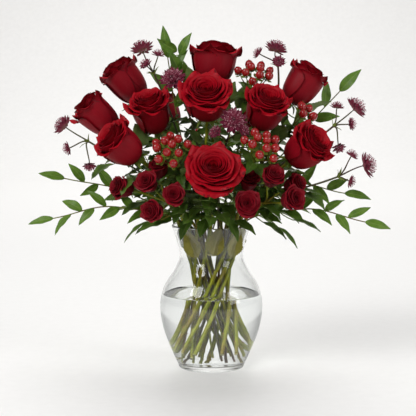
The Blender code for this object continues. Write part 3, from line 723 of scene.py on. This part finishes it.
def flower_head(skin, centre, axis, diameter, rng):
    """A masterwort head: pointed bracts round a dome of stalked florets."""
    matrix = placed(centre, axis)
    half = diameter / 2
    big = diameter > 0.02
    skin.lathe(matrix, [(half * 0.06, -half * 0.30), (half * 0.22, -half * 0.20), (half * 0.40, 0.0),
                        (half * 0.34, half * 0.18), (half * 0.10, half * 0.30)], 12, kind=1.0)
    bracts = BRACTS[big]
    for i in range(bracts):
        a = 2 * math.pi * i / bracts + rng.uniform(-0.08, 0.08)
        out = spoke(a)
        reach = half * rng.uniform(0.94, 1.08)
        rise = half * (rng.uniform(0.05, 0.30) if i % 2 else rng.uniform(-0.14, 0.12))
        base = moved(matrix, out * half * 0.16 - np.array([0, 0, half * 0.22]))
        end = moved(matrix, out * reach + np.array([0, 0, rise]))
        wide = half * (0.33 if big else 0.38)
        grid = blade(base, end, wide, axis, arch=-0.07, fold=0.22, rows=11, cols=5, shape=0.58)
        skin.sheet(grid[:, ::-1], 0.0004, rng.uniform())
    florets = FLORETS[big]
    for i in range(florets):
        share = math.sqrt((i + 0.5) / florets)
        a = i * GOLDEN_ANGLE + rng.uniform(-0.2, 0.2)
        tilt = share * 1.20
        foot = half * 0.26 * share
        base = np.array([foot * math.cos(a), foot * math.sin(a), half * 0.12 * (1 - share)])
        way = np.array([math.sin(tilt) * math.cos(a), math.sin(tilt) * math.sin(a), math.cos(tilt)])
        long = half * rng.uniform(0.48, 0.66) * (0.88 if share > 0.9 else 1.0)
        bow = np.array([rng.uniform(-1, 1), rng.uniform(-1, 1), 0]) * half * 0.04
        path = moved(matrix, np.array([base, base + way * long * 0.5 + bow, base + way * long]))
        skin.rod(path, [0.00030, 0.00024, 0.00020], 5, number=rng.uniform(), slot=1)
        ball = placed(Vector(path[-1]), Vector(matrix[:3, :3] @ way))
        s = 0.00062 if big else 0.0005
        skin.lathe(ball, [(s * 0.3, -s), (s, -s * 0.3), (s * 0.9, s * 0.5), (s * 0.2, s * 1.2)], 6,
                   number=rng.uniform(), slot=1, kind=1.0)


# Materials.


class Nodes:
    """Short names for building a material's nodes."""

    def __init__(self, name):
        self.made = bpy.data.materials.new(name)
        self.made.use_nodes = True
        self.tree = self.made.node_tree
        self.shader = self.tree.nodes["Principled BSDF"]

    def new(self, kind, **values):
        node = self.tree.nodes.new(kind)
        for key, value in values.items():
            if hasattr(node, key):
                setattr(node, key, value)
            else:
                node.inputs[key.replace("_", " ")].default_value = value
        return node

    def feed(self, socket, value):
        """Links value to the socket, or sets it there if it is a number, a colour or a vector."""
        if isinstance(value, bpy.types.NodeSocket):
            self.tree.links.new(value, socket)
        else:
            socket.default_value = (*value, 1.0) if socket.type == "RGBA" else value

    def math(self, operation, *values):
        node = self.new("ShaderNodeMath", operation=operation)
        for socket, value in zip(node.inputs, values):
            self.feed(socket, value)
        return node.outputs[0]

    def mix(self, factor, a, b, blend="MIX"):
        node = self.new("ShaderNodeMix", data_type="RGBA", blend_type=blend)
        for i, value in ((0, factor), (6, a), (7, b)):
            self.feed(node.inputs[i], value)
        return node.outputs[2]

    def ramp(self, factor, *stops):
        """The colour at factor between stops, each given as (place, colour)."""
        node = self.new("ShaderNodeValToRGB")
        band = node.color_ramp.elements
        band[0].position, band[0].color = stops[0][0], (*stops[0][1], 1.0)
        band[1].position, band[1].color = stops[-1][0], (*stops[-1][1], 1.0)
        for place, colour in stops[1:-1]:
            band.new(place).color = (*colour, 1.0)
        self.feed(node.inputs[0], factor)
        return node.outputs[0]

    def level(self, factor, *stops):
        """The value at factor between stops, each given as (place, value)."""
        return self.ramp(factor, *[(place, (value,) * 3) for place, value in stops])

    def marks(self):
        """The mesh's flow vector, its across and along; then the front and kind of the tone."""
        found = []
        for name in ("flow", "tone"):
            vector = self.new("ShaderNodeAttribute", attribute_name=name).outputs["Vector"]
            split = self.new("ShaderNodeSeparateXYZ")
            self.feed(split.inputs[0], vector)
            found += [vector, split.outputs[0], split.outputs[1]]
        return found[0], found[1], found[2], found[4], found[5]

    def stretch(self, vector, x, y, z):
        node = self.new("ShaderNodeMapping", Scale=(x, y, z))
        self.feed(node.inputs["Vector"], vector)
        return node.outputs[0]

    def noise(self, vector, scale, detail, roughness=0.55):
        node = self.new("ShaderNodeTexNoise", Scale=scale, Detail=detail, Roughness=roughness)
        self.feed(node.inputs["Vector"], vector)
        return node.outputs[0]

    def place(self):
        """The mesh's own coordinates, in metres."""
        return self.new("ShaderNodeTexCoord").outputs["Object"]

    def bump(self, height, strength, distance):
        node = self.new("ShaderNodeBump", Strength=strength, Distance=distance)
        self.feed(node.inputs["Height"], height)
        self.feed(self.shader.inputs["Normal"], node.outputs[0])

    def finish(self, **values):
        """The material, with these values on its shader."""
        for key, value in values.items():
            self.feed(self.shader.inputs[key.replace("_", " ")], value)
        return self.made


def petal_material(name, shade_and_dark_edge, lit, back, veil):
    """Velvety petals: veined, with painted shade darkening them towards the claw deep in the bloom, a painted
    lit colour towards the rims of their fronts, and darker on their backs and at the backs' rims.
    """
    n = Nodes(name)
    flow, _, along, front, _ = n.marks()
    veins = n.noise(n.stretch(flow, 26.0, 1.6, 9.0), 1.0, 4.0, 0.6)
    clouds = n.noise(n.stretch(flow, 1.6, 1.4, 7.0), 1.0, 2.0)
    # Painted shade and light: each face starts from the shade colour at the claw, and the fronts rise to the
    # painted lit colour at the rim.
    middle = tuple((a + b) / 2 for a, b in zip(shade_and_dark_edge, lit))
    inner = n.ramp(along, (0.0, shade_and_dark_edge), (0.55, middle), (0.85, lit), (1.0, lit))
    outer = n.ramp(along, (0.0, shade_and_dark_edge), (0.5, back), (0.93, back), (1.0, shade_and_dark_edge))
    streak = n.level(n.math("MULTIPLY_ADD", veins, 0.55, 0.72), (0.0, 0.0), (1.0, 1.0))
    shade = n.mix(1.0, n.mix(front, outer, inner), streak, "MULTIPLY")
    n.bump(veins, 0.22, 0.0006)
    return n.finish(Base_Color=n.mix(n.math("MULTIPLY", clouds, 0.35), shade, lit),
                    Roughness=n.level(veins, (0.3, 0.42), (0.7, 0.60)), Specular_IOR_Level=0.14,
                    Sheen_Weight=0.03, Sheen_Roughness=0.35, Sheen_Tint=veil, Subsurface_Weight=0.05,
                    Subsurface_Radius=(1.0, 0.12, 0.10), Subsurface_Scale=0.0015)


def leaf_material(name, dark, light, under, ribs, rough, slant):
    """A leaf: lighter ribs that leave the midrib at a slant, mottled between them, paler beneath."""
    n = Nodes(name)
    _, across, along, front, kind = n.marks()
    across = n.math("ABSOLUTE", across)
    along = n.math("SUBTRACT", along, n.math("MULTIPLY", across, slant))
    wave = n.math("ABSOLUTE", n.math("SINE", n.math("MULTIPLY", along if slant else across, ribs)))
    soft = n.level(wave, (0.0, 1.0), (0.22, 0.25), (0.6, 0.0))
    middle = n.level(across, (0.0, 1.0), (0.05, 1.0), (0.11, 0.0))
    lines = n.math("MAXIMUM", n.math("MULTIPLY", soft, 0.55), middle)
    mottle = n.noise(n.place(), 140.0, 4.0)
    wide = n.noise(n.place(), 18.0, 2.0)
    tissue = n.mix(n.level(mottle, (0.3, 0.0), (0.7, 1.0)), dark, light)
    tissue = n.mix(n.level(wide, (0.35, 0.0), (0.65, 0.45)), tissue, light)
    top = n.mix(n.math("MULTIPLY", lines, 0.45), tissue, under)
    colour = n.mix(front, n.mix(0.25, under, tissue), top)
    n.bump(n.math("SUBTRACT", n.math("MULTIPLY", mottle, 0.3), lines), 0.35, 0.0005)
    return n.finish(Base_Color=n.mix(n.math("MULTIPLY", kind, 0.7), colour, under),
                    Roughness=n.level(mottle, (0.3, rough), (0.7, rough + 0.16)), Specular_IOR_Level=0.28,
                    Subsurface_Weight=0.06, Subsurface_Radius=(0.3, 1.0, 0.15), Subsurface_Scale=0.0008)


def stem_material(name, fresh, pale, brown, amount):
    """Stems: streaked along their length, freckled, browner in patches, pale where they are cut."""
    n = Nodes(name)
    flow, _, along, _, kind = n.marks()
    streak = n.noise(n.stretch(flow, 9.0, 16.0, 30.0), 1.0, 4.0)
    patch = n.noise(n.place(), 26.0, 3.0)
    fleck = n.noise(n.place(), 420.0, 2.0)
    green = n.mix(n.level(streak, (0.35, 0.0), (0.65, 1.0)), fresh, pale)
    aged = n.mix(n.math("MULTIPLY", n.level(patch, (0.45, 0.0), (0.62, 1.0)), amount), green, brown)
    dotted = n.mix(n.level(fleck, (0.62, 0.0), (0.72, 0.5)), aged, brown)
    colour = n.mix(n.math("LESS_THAN", along, 0.0006), dotted, (0.55, 0.52, 0.26))
    prickle = n.math("GREATER_THAN", kind, 1.5)
    n.bump(streak, 0.3, 0.0004)
    return n.finish(Base_Color=n.mix(n.math("MULTIPLY", prickle, 0.7), colour, (0.30, 0.09, 0.05)),
                    Roughness=n.level(fleck, (0.3, 0.38), (0.7, 0.55)), Specular_IOR_Level=0.25)


def berry_material():
    n = Nodes("berry_skin")
    _, _, along, _, _ = n.marks()
    skin = n.ramp(along, (0.0, (0.40, 0.14, 0.03)), (0.20, (0.36, 0.014, 0.012)), (0.7, (0.31, 0.006, 0.008)),
                  (0.97, (0.21, 0.003, 0.006)), (1.0, (0.08, 0.02, 0.01)))
    mottle = n.noise(n.place(), 260.0, 4.0)
    n.bump(mottle, 0.10, 0.0003)
    return n.finish(Base_Color=n.mix(n.level(mottle, (0.45, 0.0), (0.75, 0.40)), skin, (0.42, 0.022, 0.016)),
                    Roughness=n.level(mottle, (0.3, 0.16), (0.7, 0.30)), Specular_IOR_Level=0.4,
                    Coat_Weight=0.40, Coat_Roughness=0.07, Subsurface_Weight=0.10,
                    Subsurface_Radius=(1.0, 0.15, 0.10), Subsurface_Scale=0.002)


def bract_material():
    n = Nodes("masterwort_bract")
    flow, _, along, front, _ = n.marks()
    inner = n.ramp(along, (0.0, (0.30, 0.14, 0.15)), (0.40, (0.21, 0.020, 0.055)),
                   (0.85, (0.140, 0.009, 0.032)), (1.0, (0.03, 0.01, 0.012)))
    outer = n.ramp(along, (0.0, (0.20, 0.15, 0.07)), (0.35, (0.24, 0.050, 0.075)),
                   (0.85, (0.17, 0.014, 0.038)), (1.0, (0.04, 0.02, 0.020)))
    veins = n.noise(n.stretch(flow, 9.0, 1.2, 13.0), 1.0, 3.0)
    veined = n.level(veins, (0.45, 0.0), (0.7, 0.5))
    n.bump(veins, 0.3, 0.0004)
    return n.finish(Base_Color=n.mix(veined, n.mix(front, outer, inner), (0.27, 0.085, 0.115)),
                    Roughness=n.level(veins, (0.3, 0.55), (0.7, 0.75)), Specular_IOR_Level=0.15)


def floret_material():
    n = Nodes("masterwort_floret")
    flow, _, along, _, kind = n.marks()
    own = n.noise(n.stretch(flow, 0.0, 0.0, 37.0), 1.0, 0.0)
    stalk = n.ramp(along, (0.0, (0.14, 0.008, 0.024)), (0.6, (0.30, 0.045, 0.085)), (1.0, (0.48, 0.20, 0.25)))
    tip = n.mix(n.level(own, (0.45, 0.0), (0.55, 1.0)), (0.12, 0.006, 0.020), (0.55, 0.30, 0.34))
    return n.finish(Base_Color=n.mix(kind, stalk, tip), Roughness=n.level(own, (0.3, 0.5), (0.7, 0.7)),
                    Specular_IOR_Level=0.15)


def clear_material(name, colour, ior, streaks, strength):
    """Clear glass or water that lets the lamps reach what is behind it."""
    n = Nodes(name)
    n.bump(n.noise(n.place(), streaks, 2.0), strength, 0.0008)
    n.finish(Base_Color=colour, Roughness=0.0, IOR=ior, Transmission_Weight=1.0)
    clear = n.new("ShaderNodeBsdfTransparent")
    n.feed(clear.inputs[0], tuple(0.5 + 0.5 * c for c in colour))
    blend = n.new("ShaderNodeMixShader")
    shadow = n.new("ShaderNodeLightPath").outputs["Is Shadow Ray"]
    for socket, source in zip(blend.inputs, (shadow, n.shader.outputs[0], clear.outputs[0])):
        n.feed(socket, source)
    n.feed(n.tree.nodes["Material Output"].inputs["Surface"], blend.outputs[0])
    return n.made


def floor_material():
    n = Nodes("studio_floor")
    grain = n.noise(n.place(), 60.0, 4.0)
    return n.finish(Base_Color=n.ramp(grain, (0.3, (0.80, 0.79, 0.775)), (0.7, (0.83, 0.82, 0.805))),
                    Roughness=n.level(grain, (0.3, 0.45), (0.7, 0.55)), Specular_IOR_Level=0.3)


# Petal colours: the painted shade at the claw, which also darkens the backs' rims, then the painted lit
# colour, the backs and the sheen tint.
ROSE = petal_material("rose_velvet", (0.032, 0.0004, 0.0020), (0.340, 0.0010, 0.0080),
                      (0.180, 0.0008, 0.0065), (1.0, 0.30, 0.38))
SPRAY = petal_material("spray_velvet", (0.022, 0.0006, 0.0016), (0.190, 0.0024, 0.0090),
                       (0.075, 0.0008, 0.0040), (1.0, 0.25, 0.35))
ROSE_LEAF = leaf_material("rose_leaf", (0.030, 0.070, 0.008), (0.080, 0.148, 0.016), (0.140, 0.195, 0.052),
                          34.0, 0.36, 0.32)
RUSCUS = leaf_material("ruscus_leaf", (0.042, 0.104, 0.009), (0.112, 0.210, 0.018), (0.180, 0.265, 0.056),
                       24.0, 0.32, 0.0)
SEPAL = leaf_material("sepal_green", (0.080, 0.130, 0.012), (0.170, 0.225, 0.026), (0.230, 0.280, 0.060),
                      10.0, 0.50, 0.0)
OLD_LEAF = leaf_material("old_leaf", (0.150, 0.140, 0.018), (0.260, 0.230, 0.035), (0.330, 0.300, 0.090),
                         30.0, 0.45, 0.32)
ROSE_STEM_SKIN = stem_material("rose_stem_skin", (0.105, 0.135, 0.004), (0.290, 0.310, 0.014),
                               (0.160, 0.070, 0.014), 0.55)
WOODY = stem_material("woody_stem_skin", (0.080, 0.100, 0.008), (0.170, 0.180, 0.016),
                      (0.110, 0.046, 0.014), 0.75)
DARK_STEM = stem_material("masterwort_stem_skin", (0.050, 0.055, 0.020), (0.095, 0.080, 0.035),
                          (0.070, 0.022, 0.020), 0.7)
BERRY = berry_material()
BRACT = bract_material()
FLORET = floret_material()
GLASS = clear_material("clear_glass", (0.985, 0.995, 0.990), 1.46, 14.0, 0.006)
WATER = clear_material("clear_water", (0.990, 0.998, 0.997), 1.333, 20.0, 0.004)


# The vase and its water.


def arc(centre, radius, start, end, count):
    """Points of an arc in the (radius, height) plane."""
    angles = [math.radians(start + (end - start) * i / (count - 1)) for i in range(count)]
    return [(centre[0] + radius * math.cos(a), centre[1] + radius * math.sin(a)) for a in angles]


def floor_corner():
    """The rounded corner inside the vase, from the wall to the floor, as (radius, height) pairs."""
    low = FLOOR + FLOOR_CORNER
    start = inside_radius(low)
    return [(start - FLOOR_CORNER * (1 - math.cos(a)), low - FLOOR_CORNER * math.sin(a))
            for a in (0.25, 0.55, 0.85, 1.15, 1.4)]


def vase():
    """A blown glass vase: thick rounded foot with a shallow push-up, even wall, fire-polished lip."""
    skin = Skin()
    rise = [0.004 + (VASE_HEIGHT - 0.006) * i / 60 for i in range(61)]
    foot = outline_radius(0.004)
    lip = outline_radius(VASE_HEIGHT - 0.002) - WALL / 2
    profile = [(0.0008, 0.0016), (0.020, 0.0014), (0.030, 0.0006)]
    profile += [(foot - 0.010, 0.0), (foot - 0.005, 0.0)]
    profile += [(foot - 0.0035 * (1 - math.sin(a)), 0.0035 * (1 - math.cos(a))) for a in (0.45, 0.9, 1.3)]
    profile += [(outline_radius(z), z) for z in rise]
    profile += arc((lip, VASE_HEIGHT - WALL / 2), WALL / 2, 25, 155, 7)
    profile += [(inside_radius(z), z) for z in reversed(rise) if z > FLOOR + FLOOR_CORNER]
    profile += floor_corner()
    profile += [(0.034, FLOOR + 0.0002), (0.022, FLOOR + 0.0012), (0.0008, FLOOR + 0.0018)]
    skin.lathe(np.eye(4), profile, VASE_SIDES)
    skin.piece("glass_vase", [GLASS], "clear_glass", "vase")


def water_body():
    """The water. It overlaps the glass a little, so no air shows between them, and climbs at its edge."""
    skin = Skin()
    sink = 0.0004
    profile = [(0.0008, FLOOR + 0.0014), (0.022, FLOOR + 0.0008), (0.034, FLOOR - 0.0002)]
    profile += [(r + sink, z - sink * 0.5) for r, z in reversed(floor_corner())]
    levels = np.linspace(FLOOR + FLOOR_CORNER, WATER_LEVEL + 0.0016, 36)
    profile += [(inside_radius(z) + sink, z) for z in levels]
    wall = inside_radius(WATER_LEVEL)
    profile += [(wall - 0.0003, WATER_LEVEL + 0.0015), (wall - 0.0012, WATER_LEVEL + 0.0006),
                (wall - 0.0030, WATER_LEVEL + 0.0001), (wall - 0.006, WATER_LEVEL), (0.040, WATER_LEVEL),
                (0.018, WATER_LEVEL), (0.0008, WATER_LEVEL)]
    skin.lathe(np.eye(4), profile, VASE_SIDES)
    skin.piece("vase_water", [WATER], "water", "water")


# Every plant in its place.


def clear_of_blooms(points, blooms):
    """True if none of the points lies inside a bloom."""
    for centre, axis, diameter, height in blooms:
        for p in points:
            away = p - centre
            rise = away.dot(axis)
            if abs(rise) < height * 0.52 and (away - axis * rise).length < diameter / 2:
                return False
    return True


def plants():
    tips = [centre - axis * (height / 2) for centre, axis, _, height, _ in ROSES]
    core = [(SPRAY_STEM, row[0]) for row in SPRAYS] + [(BERRY_STEM, row[0]) for row in BERRY_SPRIGS]
    core += [(MASTERWORT_STEM, row[0]) for row in MASTERWORTS] + [(LEAF_STEM, row[0]) for row in LEAF_SPRIGS]
    free = iter(waist_slots([(ROSE_STEM, tip) for tip in tips], core))
    blooms = [row[:4] for row in ROSES]
    blooms += [(*head, head[2] * SPRAY_HEIGHT_SHARE) for _, heads in SPRAYS for head in heads]
    lines = []
    for i, ((*form, opened), tip) in enumerate(zip(ROSES, tips)):
        bloom(f"rose_bloom_{i + 1:02d}", "rose_petal", ROSE, *form, opened, ROSE_PETALS, 100 + i)
        lines.append(rose_plant(i, next(free), tip, form[1], blooms))
    loose_leaves(np.concatenate(lines))
    serial = 0
    for number, (fork, heads) in enumerate(SPRAYS, 1):
        ends = []
        for centre, axis, diameter in heads:
            serial += 1
            height = diameter * SPRAY_HEIGHT_SHARE
            bloom(f"spray_bloom_{serial:02d}", "spray_petal", SPRAY, centre, axis, diameter, height,
                  SPRAY_OPENED, SPRAY_PETALS, 300 + serial, 0.8, 0.8)
            ends.append((centre - axis * (height / 2), axis))
        spray_plant(number, next(free), fork, ends)
    kinds = ((berry_plant, BERRY_SPRIGS), (masterwort_plant, MASTERWORTS), (leaf_plant, LEAF_SPRIGS))
    for grow, rows in kinds:
        for number, row in enumerate(rows, 1):
            grow(number, next(free), *row)


def loose_leaves(line):
    """Leaves round the rim, in the neck and between the blooms, each stalked to the nearest rose stem."""
    rng = np.random.RandomState(950)
    for number, (base, tip, width, old) in enumerate(LOOSE_LEAVES, 1):
        skin = Skin()
        stalk(skin, line, base, tip, kind=1.0)
        face = Vector((0, 0, 1)) + Vector((base.x, base.y, 0)).normalized() * 0.8
        leaf(skin, base, tip, width, face, rng.uniform(), twist=rng.uniform(-0.4, 0.4), droop=0.06, **TOOTHED)
        skin.piece(f"loose_leaf_{number:02d}", [OLD_LEAF if old else ROSE_LEAF], "leaf_green")


def prickles(skin, fine, radius, rng):
    """Prickles at random places on a rose's stem, but none near the vase's neck."""
    for _ in range(PRICKLES):
        k = rng.randint(3, len(fine) - 6)
        if abs(fine[k][2] - NECK_HEIGHT) < NECK_REACH:
            continue
        along = fine[k + 1] - fine[k]
        along /= np.linalg.norm(along)
        out = np.cross(along, rng.uniform(-1, 1, 3))
        out /= np.linalg.norm(out)
        thorn(skin, fine[k] + out * radius[k] * 0.8, out, along, 0.0030)


def rose_leaves(name, fine, blooms, rng):
    """Up to LEAVES_PER_ROSE compound leaves on a rose's stem above the vase, clear of every bloom."""
    leaves = Skin()
    free = [Vector(p) for p in fine if p[2] > LOWEST_LEAF]
    made = 0
    for tries in range(140):
        if made == LEAVES_PER_ROSE:
            break
        k = int((0.06 + 0.86 * ((tries * 0.37) % 1.0)) * (len(free) - 2))
        along = (free[k + 1] - free[k]).normalized()
        out = along.cross(Vector(rng.uniform(-1, 1, 3))).normalized()
        way = (out * 0.9 + along * 0.55).normalized()
        size = rng.uniform(0.026, 0.040)
        end = free[k] + way * size * 1.9
        if end.z < LOWEST_TIP or end.xy.length > WIDEST_TIP:
            continue
        if not clear_of_blooms((free[k] + way * size, end), blooms):
            continue
        up = Vector((0, 0, 1)) - way * way.z + out * 0.3
        rose_leaf(leaves, free[k], way, up, size, rng, 3 if tries % 2 else 5)
        made += 1
    if made:
        leaves.piece(name, [ROSE_LEAF], "leaf_green")


def rose_plant(index, slot, tip, axis, blooms):
    """A rose's stem with prickles, calyx and leaves. Returns the points of its centreline."""
    rng = np.random.RandomState(500 + index)
    skin, green = Skin(), Skin()
    path = stem_path(slot, ROSE_STEM, tip - axis * 0.006, axis, 26)
    radii = np.linspace(ROSE_STEM, ROSE_STEM * 0.8, len(path))
    fine, radius = stem(skin, path, radii, rng, 12, 5)
    prickles(skin, fine, radius, rng)
    calyx(green, tip, axis, ROSE_STEM, 0.019, rng)
    for owner, base, end, width in COLLAR_LEAVES:
        if owner == index:
            stalk(skin, fine, base, end)
            leaf(skin, base, end, width, (0, 0, 1), rng.uniform(), slot=1, **TOOTHED)
    name = f"rose_stem_{index + 1:02d}"
    skin.piece(name + "_rod", [ROSE_STEM_SKIN, ROSE_LEAF], "rose_green", name)
    green.piece(name + "_calyx", [SEPAL], "rose_green")
    rose_leaves(f"rose_leaves_{index + 1:02d}", fine, blooms, rng)
    return fine


def spray_plant(number, slot, fork, ends):
    """A branched stem with a calyx at each end, given as (tip, axis)."""
    rng = np.random.RandomState(600 + number)
    skin, green = Skin(), Skin()
    path = stem_path(slot, SPRAY_STEM, fork, (fork - MOUTH).normalized(), 20)
    stem(skin, path, np.full(len(path), SPRAY_STEM), rng, 10, 4)
    rising = (path[-1] - path[-2]).normalized()
    for tip, axis in ends:
        twig = sweep(fork - rising * 0.004, rising, tip - axis * 0.004, axis, 16)
        stem(skin, twig, np.linspace(0.0016, 0.0011, 16), rng, 8, 1)
        calyx(green, tip, axis, 0.0017, 0.012, rng, 0.2)
    name = f"spray_stem_{number}"
    skin.piece(name + "_rod", [ROSE_STEM_SKIN], "rose_green", name)
    green.piece(name + "_calyx", [SEPAL], "rose_green")


def berry_plant(number, slot, centre, axis, count, spread):
    """A stem that forks into a cluster of berries, with small leaves below the fork."""
    rng = np.random.RandomState(700 + number)
    skin, wood = Skin(), Skin()
    fork = centre - axis * (spread * 1.25)
    path = stem_path(slot, BERRY_STEM, fork, axis, 20)
    stem(wood, path, np.full(len(path), BERRY_STEM), rng, 8, 3)
    for place in berry_places(centre, axis, count, spread):
        out = (place - fork).normalized()
        way = (out + axis).normalized()
        stalk = sweep(fork - axis * 0.002, way, place - out * BERRY_RADIUS, way, 9)
        wood.rod(stalk, np.linspace(0.0009, 0.0007, 9), 7)
        berry(skin, place, out, BERRY_RADIUS * 1.05, rng)
    name = f"berry_sprig_{number}"
    skin.piece(name + "_fruit", [BERRY, SEPAL, WOODY], "berry_red", name)
    wood.piece(name + "_stem", [WOODY], "rose_green")
    green = Skin()
    for i in range(6):
        base = fork - axis * (0.002 + 0.008 * (i % 3))
        end = base + beside(fork, axis, 2 * math.pi * i / 6 + number, 0.25) * rng.uniform(0.028, 0.038)
        leaf(green, base, end, 0.015, axis, rng.uniform(), arch=0.10, rows=17, cols=7, droop=0.15)
    green.piece(name + "_leaves", [ROSE_LEAF], "leaf_green")


def masterwort_plant(number, slot, fork, head, axis, diameter, small_heads):
    """A stem that forks into one large head and its small side heads, with bracteoles at the fork."""
    rng = np.random.RandomState(800 + number)
    skin, rods = Skin(), Skin()
    path = stem_path(slot, MASTERWORT_STEM, fork, (head - fork).normalized(), 20)
    stem(rods, path, np.full(len(path), MASTERWORT_STEM), rng, 8, 2)
    rising = (path[-1] - path[-2]).normalized()
    heads = [(head, axis, diameter)]
    heads += [(place, (place - fork).normalized(), SMALL_HEAD) for place in small_heads]
    for centre, way, size in heads:
        end = centre - way * size * 0.12
        twig = sweep(fork - rising * 0.002, rising, end, way, 14)
        stem(rods, twig, np.linspace(0.0012, 0.0008, 14), rng, 7, 0)
        flower_head(skin, centre, way, size * 1.1, rng)
    name = f"masterwort_{number}"
    skin.piece(name + "_heads", [BRACT, FLORET], "masterwort", name)
    rods.piece(name + "_stem", [DARK_STEM], "rose_green")
    green = Skin()
    for i in range(4):
        end = fork + beside(fork, rising, 2 * math.pi * i / 4 + number, 0.5) * rng.uniform(0.011, 0.018)
        leaf(green, fork - rising * 0.001, end, 0.0045, rising, rng.uniform(), arch=0.08, rows=11, cols=5)
    green.piece(name + "_bracteoles", [SEPAL], "rose_green")


def leaf_plant(number, slot, via, end, normal, count, length):
    """An arching leaf sprig, with its leaves where the CAD has them and any upright ones."""
    rng = np.random.RandomState(900 + number)
    skin, rods = Skin(), Skin()
    arrival = (end - via).normalized()
    path = stem_path(slot, LEAF_STEM, end, arrival, 28, via)
    fine, _ = stem(rods, path, np.linspace(LEAF_STEM, LEAF_STEM * 0.6, len(path)), rng, 8, 2)
    coarse = straight_run(slot, LEAF_STEM) + free_run(slot, end, arrival, 8, via)
    steps = len(coarse) - 1
    fine_points = [Vector(p) for p in fine]
    rows = []
    for i in range(count - 1):
        at = steps * (0.50 + 0.48 * i / (count - 1))
        k = min(int(at), steps - 1)
        base = coarse[k].lerp(coarse[k + 1], at - k)
        along = (coarse[k + 1] - coarse[k]).normalized()
        side = along.cross(normal).normalized() * (1 if i % 2 else -1)
        way = (along * 0.75 + side * 0.65 + normal * 0.10).normalized()
        rows.append((base, base + way * length * (0.88 + 0.12 * (i % 3) / 2)))
    along = (coarse[-1] - coarse[-2]).normalized()
    rows.append((coarse[-1] - along * 0.001, coarse[-1] + along * length))
    rows += [(base, tip) for owner, base, tip in UPRIGHT_LEAVES if owner == number]
    for base, tip in rows:
        root = min(fine_points, key=lambda p: (p - base).length)
        way = (tip - base).normalized()
        face = (normal + Vector(rng.uniform(-0.35, 0.35, 3))).normalized()
        skin.rod([root, base + way * 0.0025], 0.0006, 6, kind=1.0)
        width = length * LEAF_SLIMNESS * rng.uniform(0.92, 1.15)
        leaf(skin, base + way * 0.001, tip, width, face, rng.uniform(), 0.0006,
             arch=rng.uniform(0.03, 0.10), fold=0.10, rows=21, cols=7, twist=rng.uniform(-0.7, 0.7),
             shape=0.40, droop=rng.uniform(0.0, 0.10))
    name = f"leaf_sprig_{number}"
    skin.piece(name + "_leaves", [RUSCUS], "leaf_green", name)
    rods.piece(name + "_stem", [WOODY], "rose_green")


vase()
water_body()
plants()


# The studio.


def backdrop():
    """A pale floor that sweeps up into a pale wall."""
    wall, radius, top, wide = 3.4, 1.0, 3.2, 6.0
    profile = [(-wide, 0.0), (wall, 0.0)]
    bend = np.linspace(0.1, math.pi / 2, 16)
    profile += [(wall + radius * math.sin(a), radius * (1 - math.cos(a))) for a in bend]
    profile += [(wall + radius, top)]
    n = len(profile)
    mesh = bpy.data.meshes.new("studio_sweep")
    mesh.from_pydata([(x, y, z) for x in (-wide, wide) for y, z in profile], [],
                     [(i, n + i, n + i + 1, i + 1) for i in range(n - 1)])
    mesh.materials.append(floor_material())
    mesh.shade_smooth()
    shown("studio_sweep", mesh)


def sky():
    """A faint even light. The camera sees it as a pale backdrop."""
    world = bpy.data.worlds.new("studio_world")
    world.use_nodes = True
    tree = world.node_tree
    dim = tree.nodes["Background"]
    dim.inputs[0].default_value = (0.97, 0.985, 1.0, 1.0)
    dim.inputs[1].default_value = 0.30
    seen = tree.nodes.new("ShaderNodeBackground")
    seen.inputs[0].default_value = (0.93, 0.93, 0.925, 1.0)
    path = tree.nodes.new("ShaderNodeLightPath")
    blend = tree.nodes.new("ShaderNodeMixShader")
    for socket, source in zip(blend.inputs, (path.outputs["Is Camera Ray"], dim.outputs[0], seen.outputs[0])):
        tree.links.new(source, socket)
    tree.links.new(blend.outputs[0], tree.nodes["World Output"].inputs["Surface"])
    bpy.context.scene.world = world


def aimed(name, data, place, target):
    """An object at place that looks at target."""
    obj = shown(name, data)
    obj.location = place
    obj.rotation_euler = (Vector(target) - Vector(place)).to_track_quat("-Z", "Y").to_euler()
    return obj


def lamp(name, place, target, size, power, glossy=True):
    """A square lamp that isn't seen through the glass, and is reflected if glossy."""
    light = bpy.data.lights.new(name, "AREA")
    light.shape = "SQUARE"
    light.size = size
    light.energy = power
    obj = aimed(name, light, place, target)
    obj.visible_transmission = False
    obj.visible_glossy = glossy


def camera():
    data = bpy.data.cameras.new("camera")
    data.lens = 111.0
    data.sensor_width = 36.0
    place, target = (-0.0047, -1.80, 0.40), (-0.0047, 0, 0.2265)
    bpy.context.scene.camera = aimed("camera", data, place, target)


backdrop()
sky()
lamp("key", (-1.3, -1.5, 1.7), (0, 0, 0.30), 1.1, 38)
lamp("fill", (1.6, -1.1, 0.9), (0, 0, 0.25), 0.9, 12)
lamp("top", (0.2, 0.5, 2.2), (0, 0, 0.30), 1.2, 12, glossy=False)
lamp("wash", (0, 2.9, 3.2), (0, 3.4, 0.0), 2.6, 90, glossy=False)
camera()
bpy.context.scene.view_settings.view_transform = "Standard"
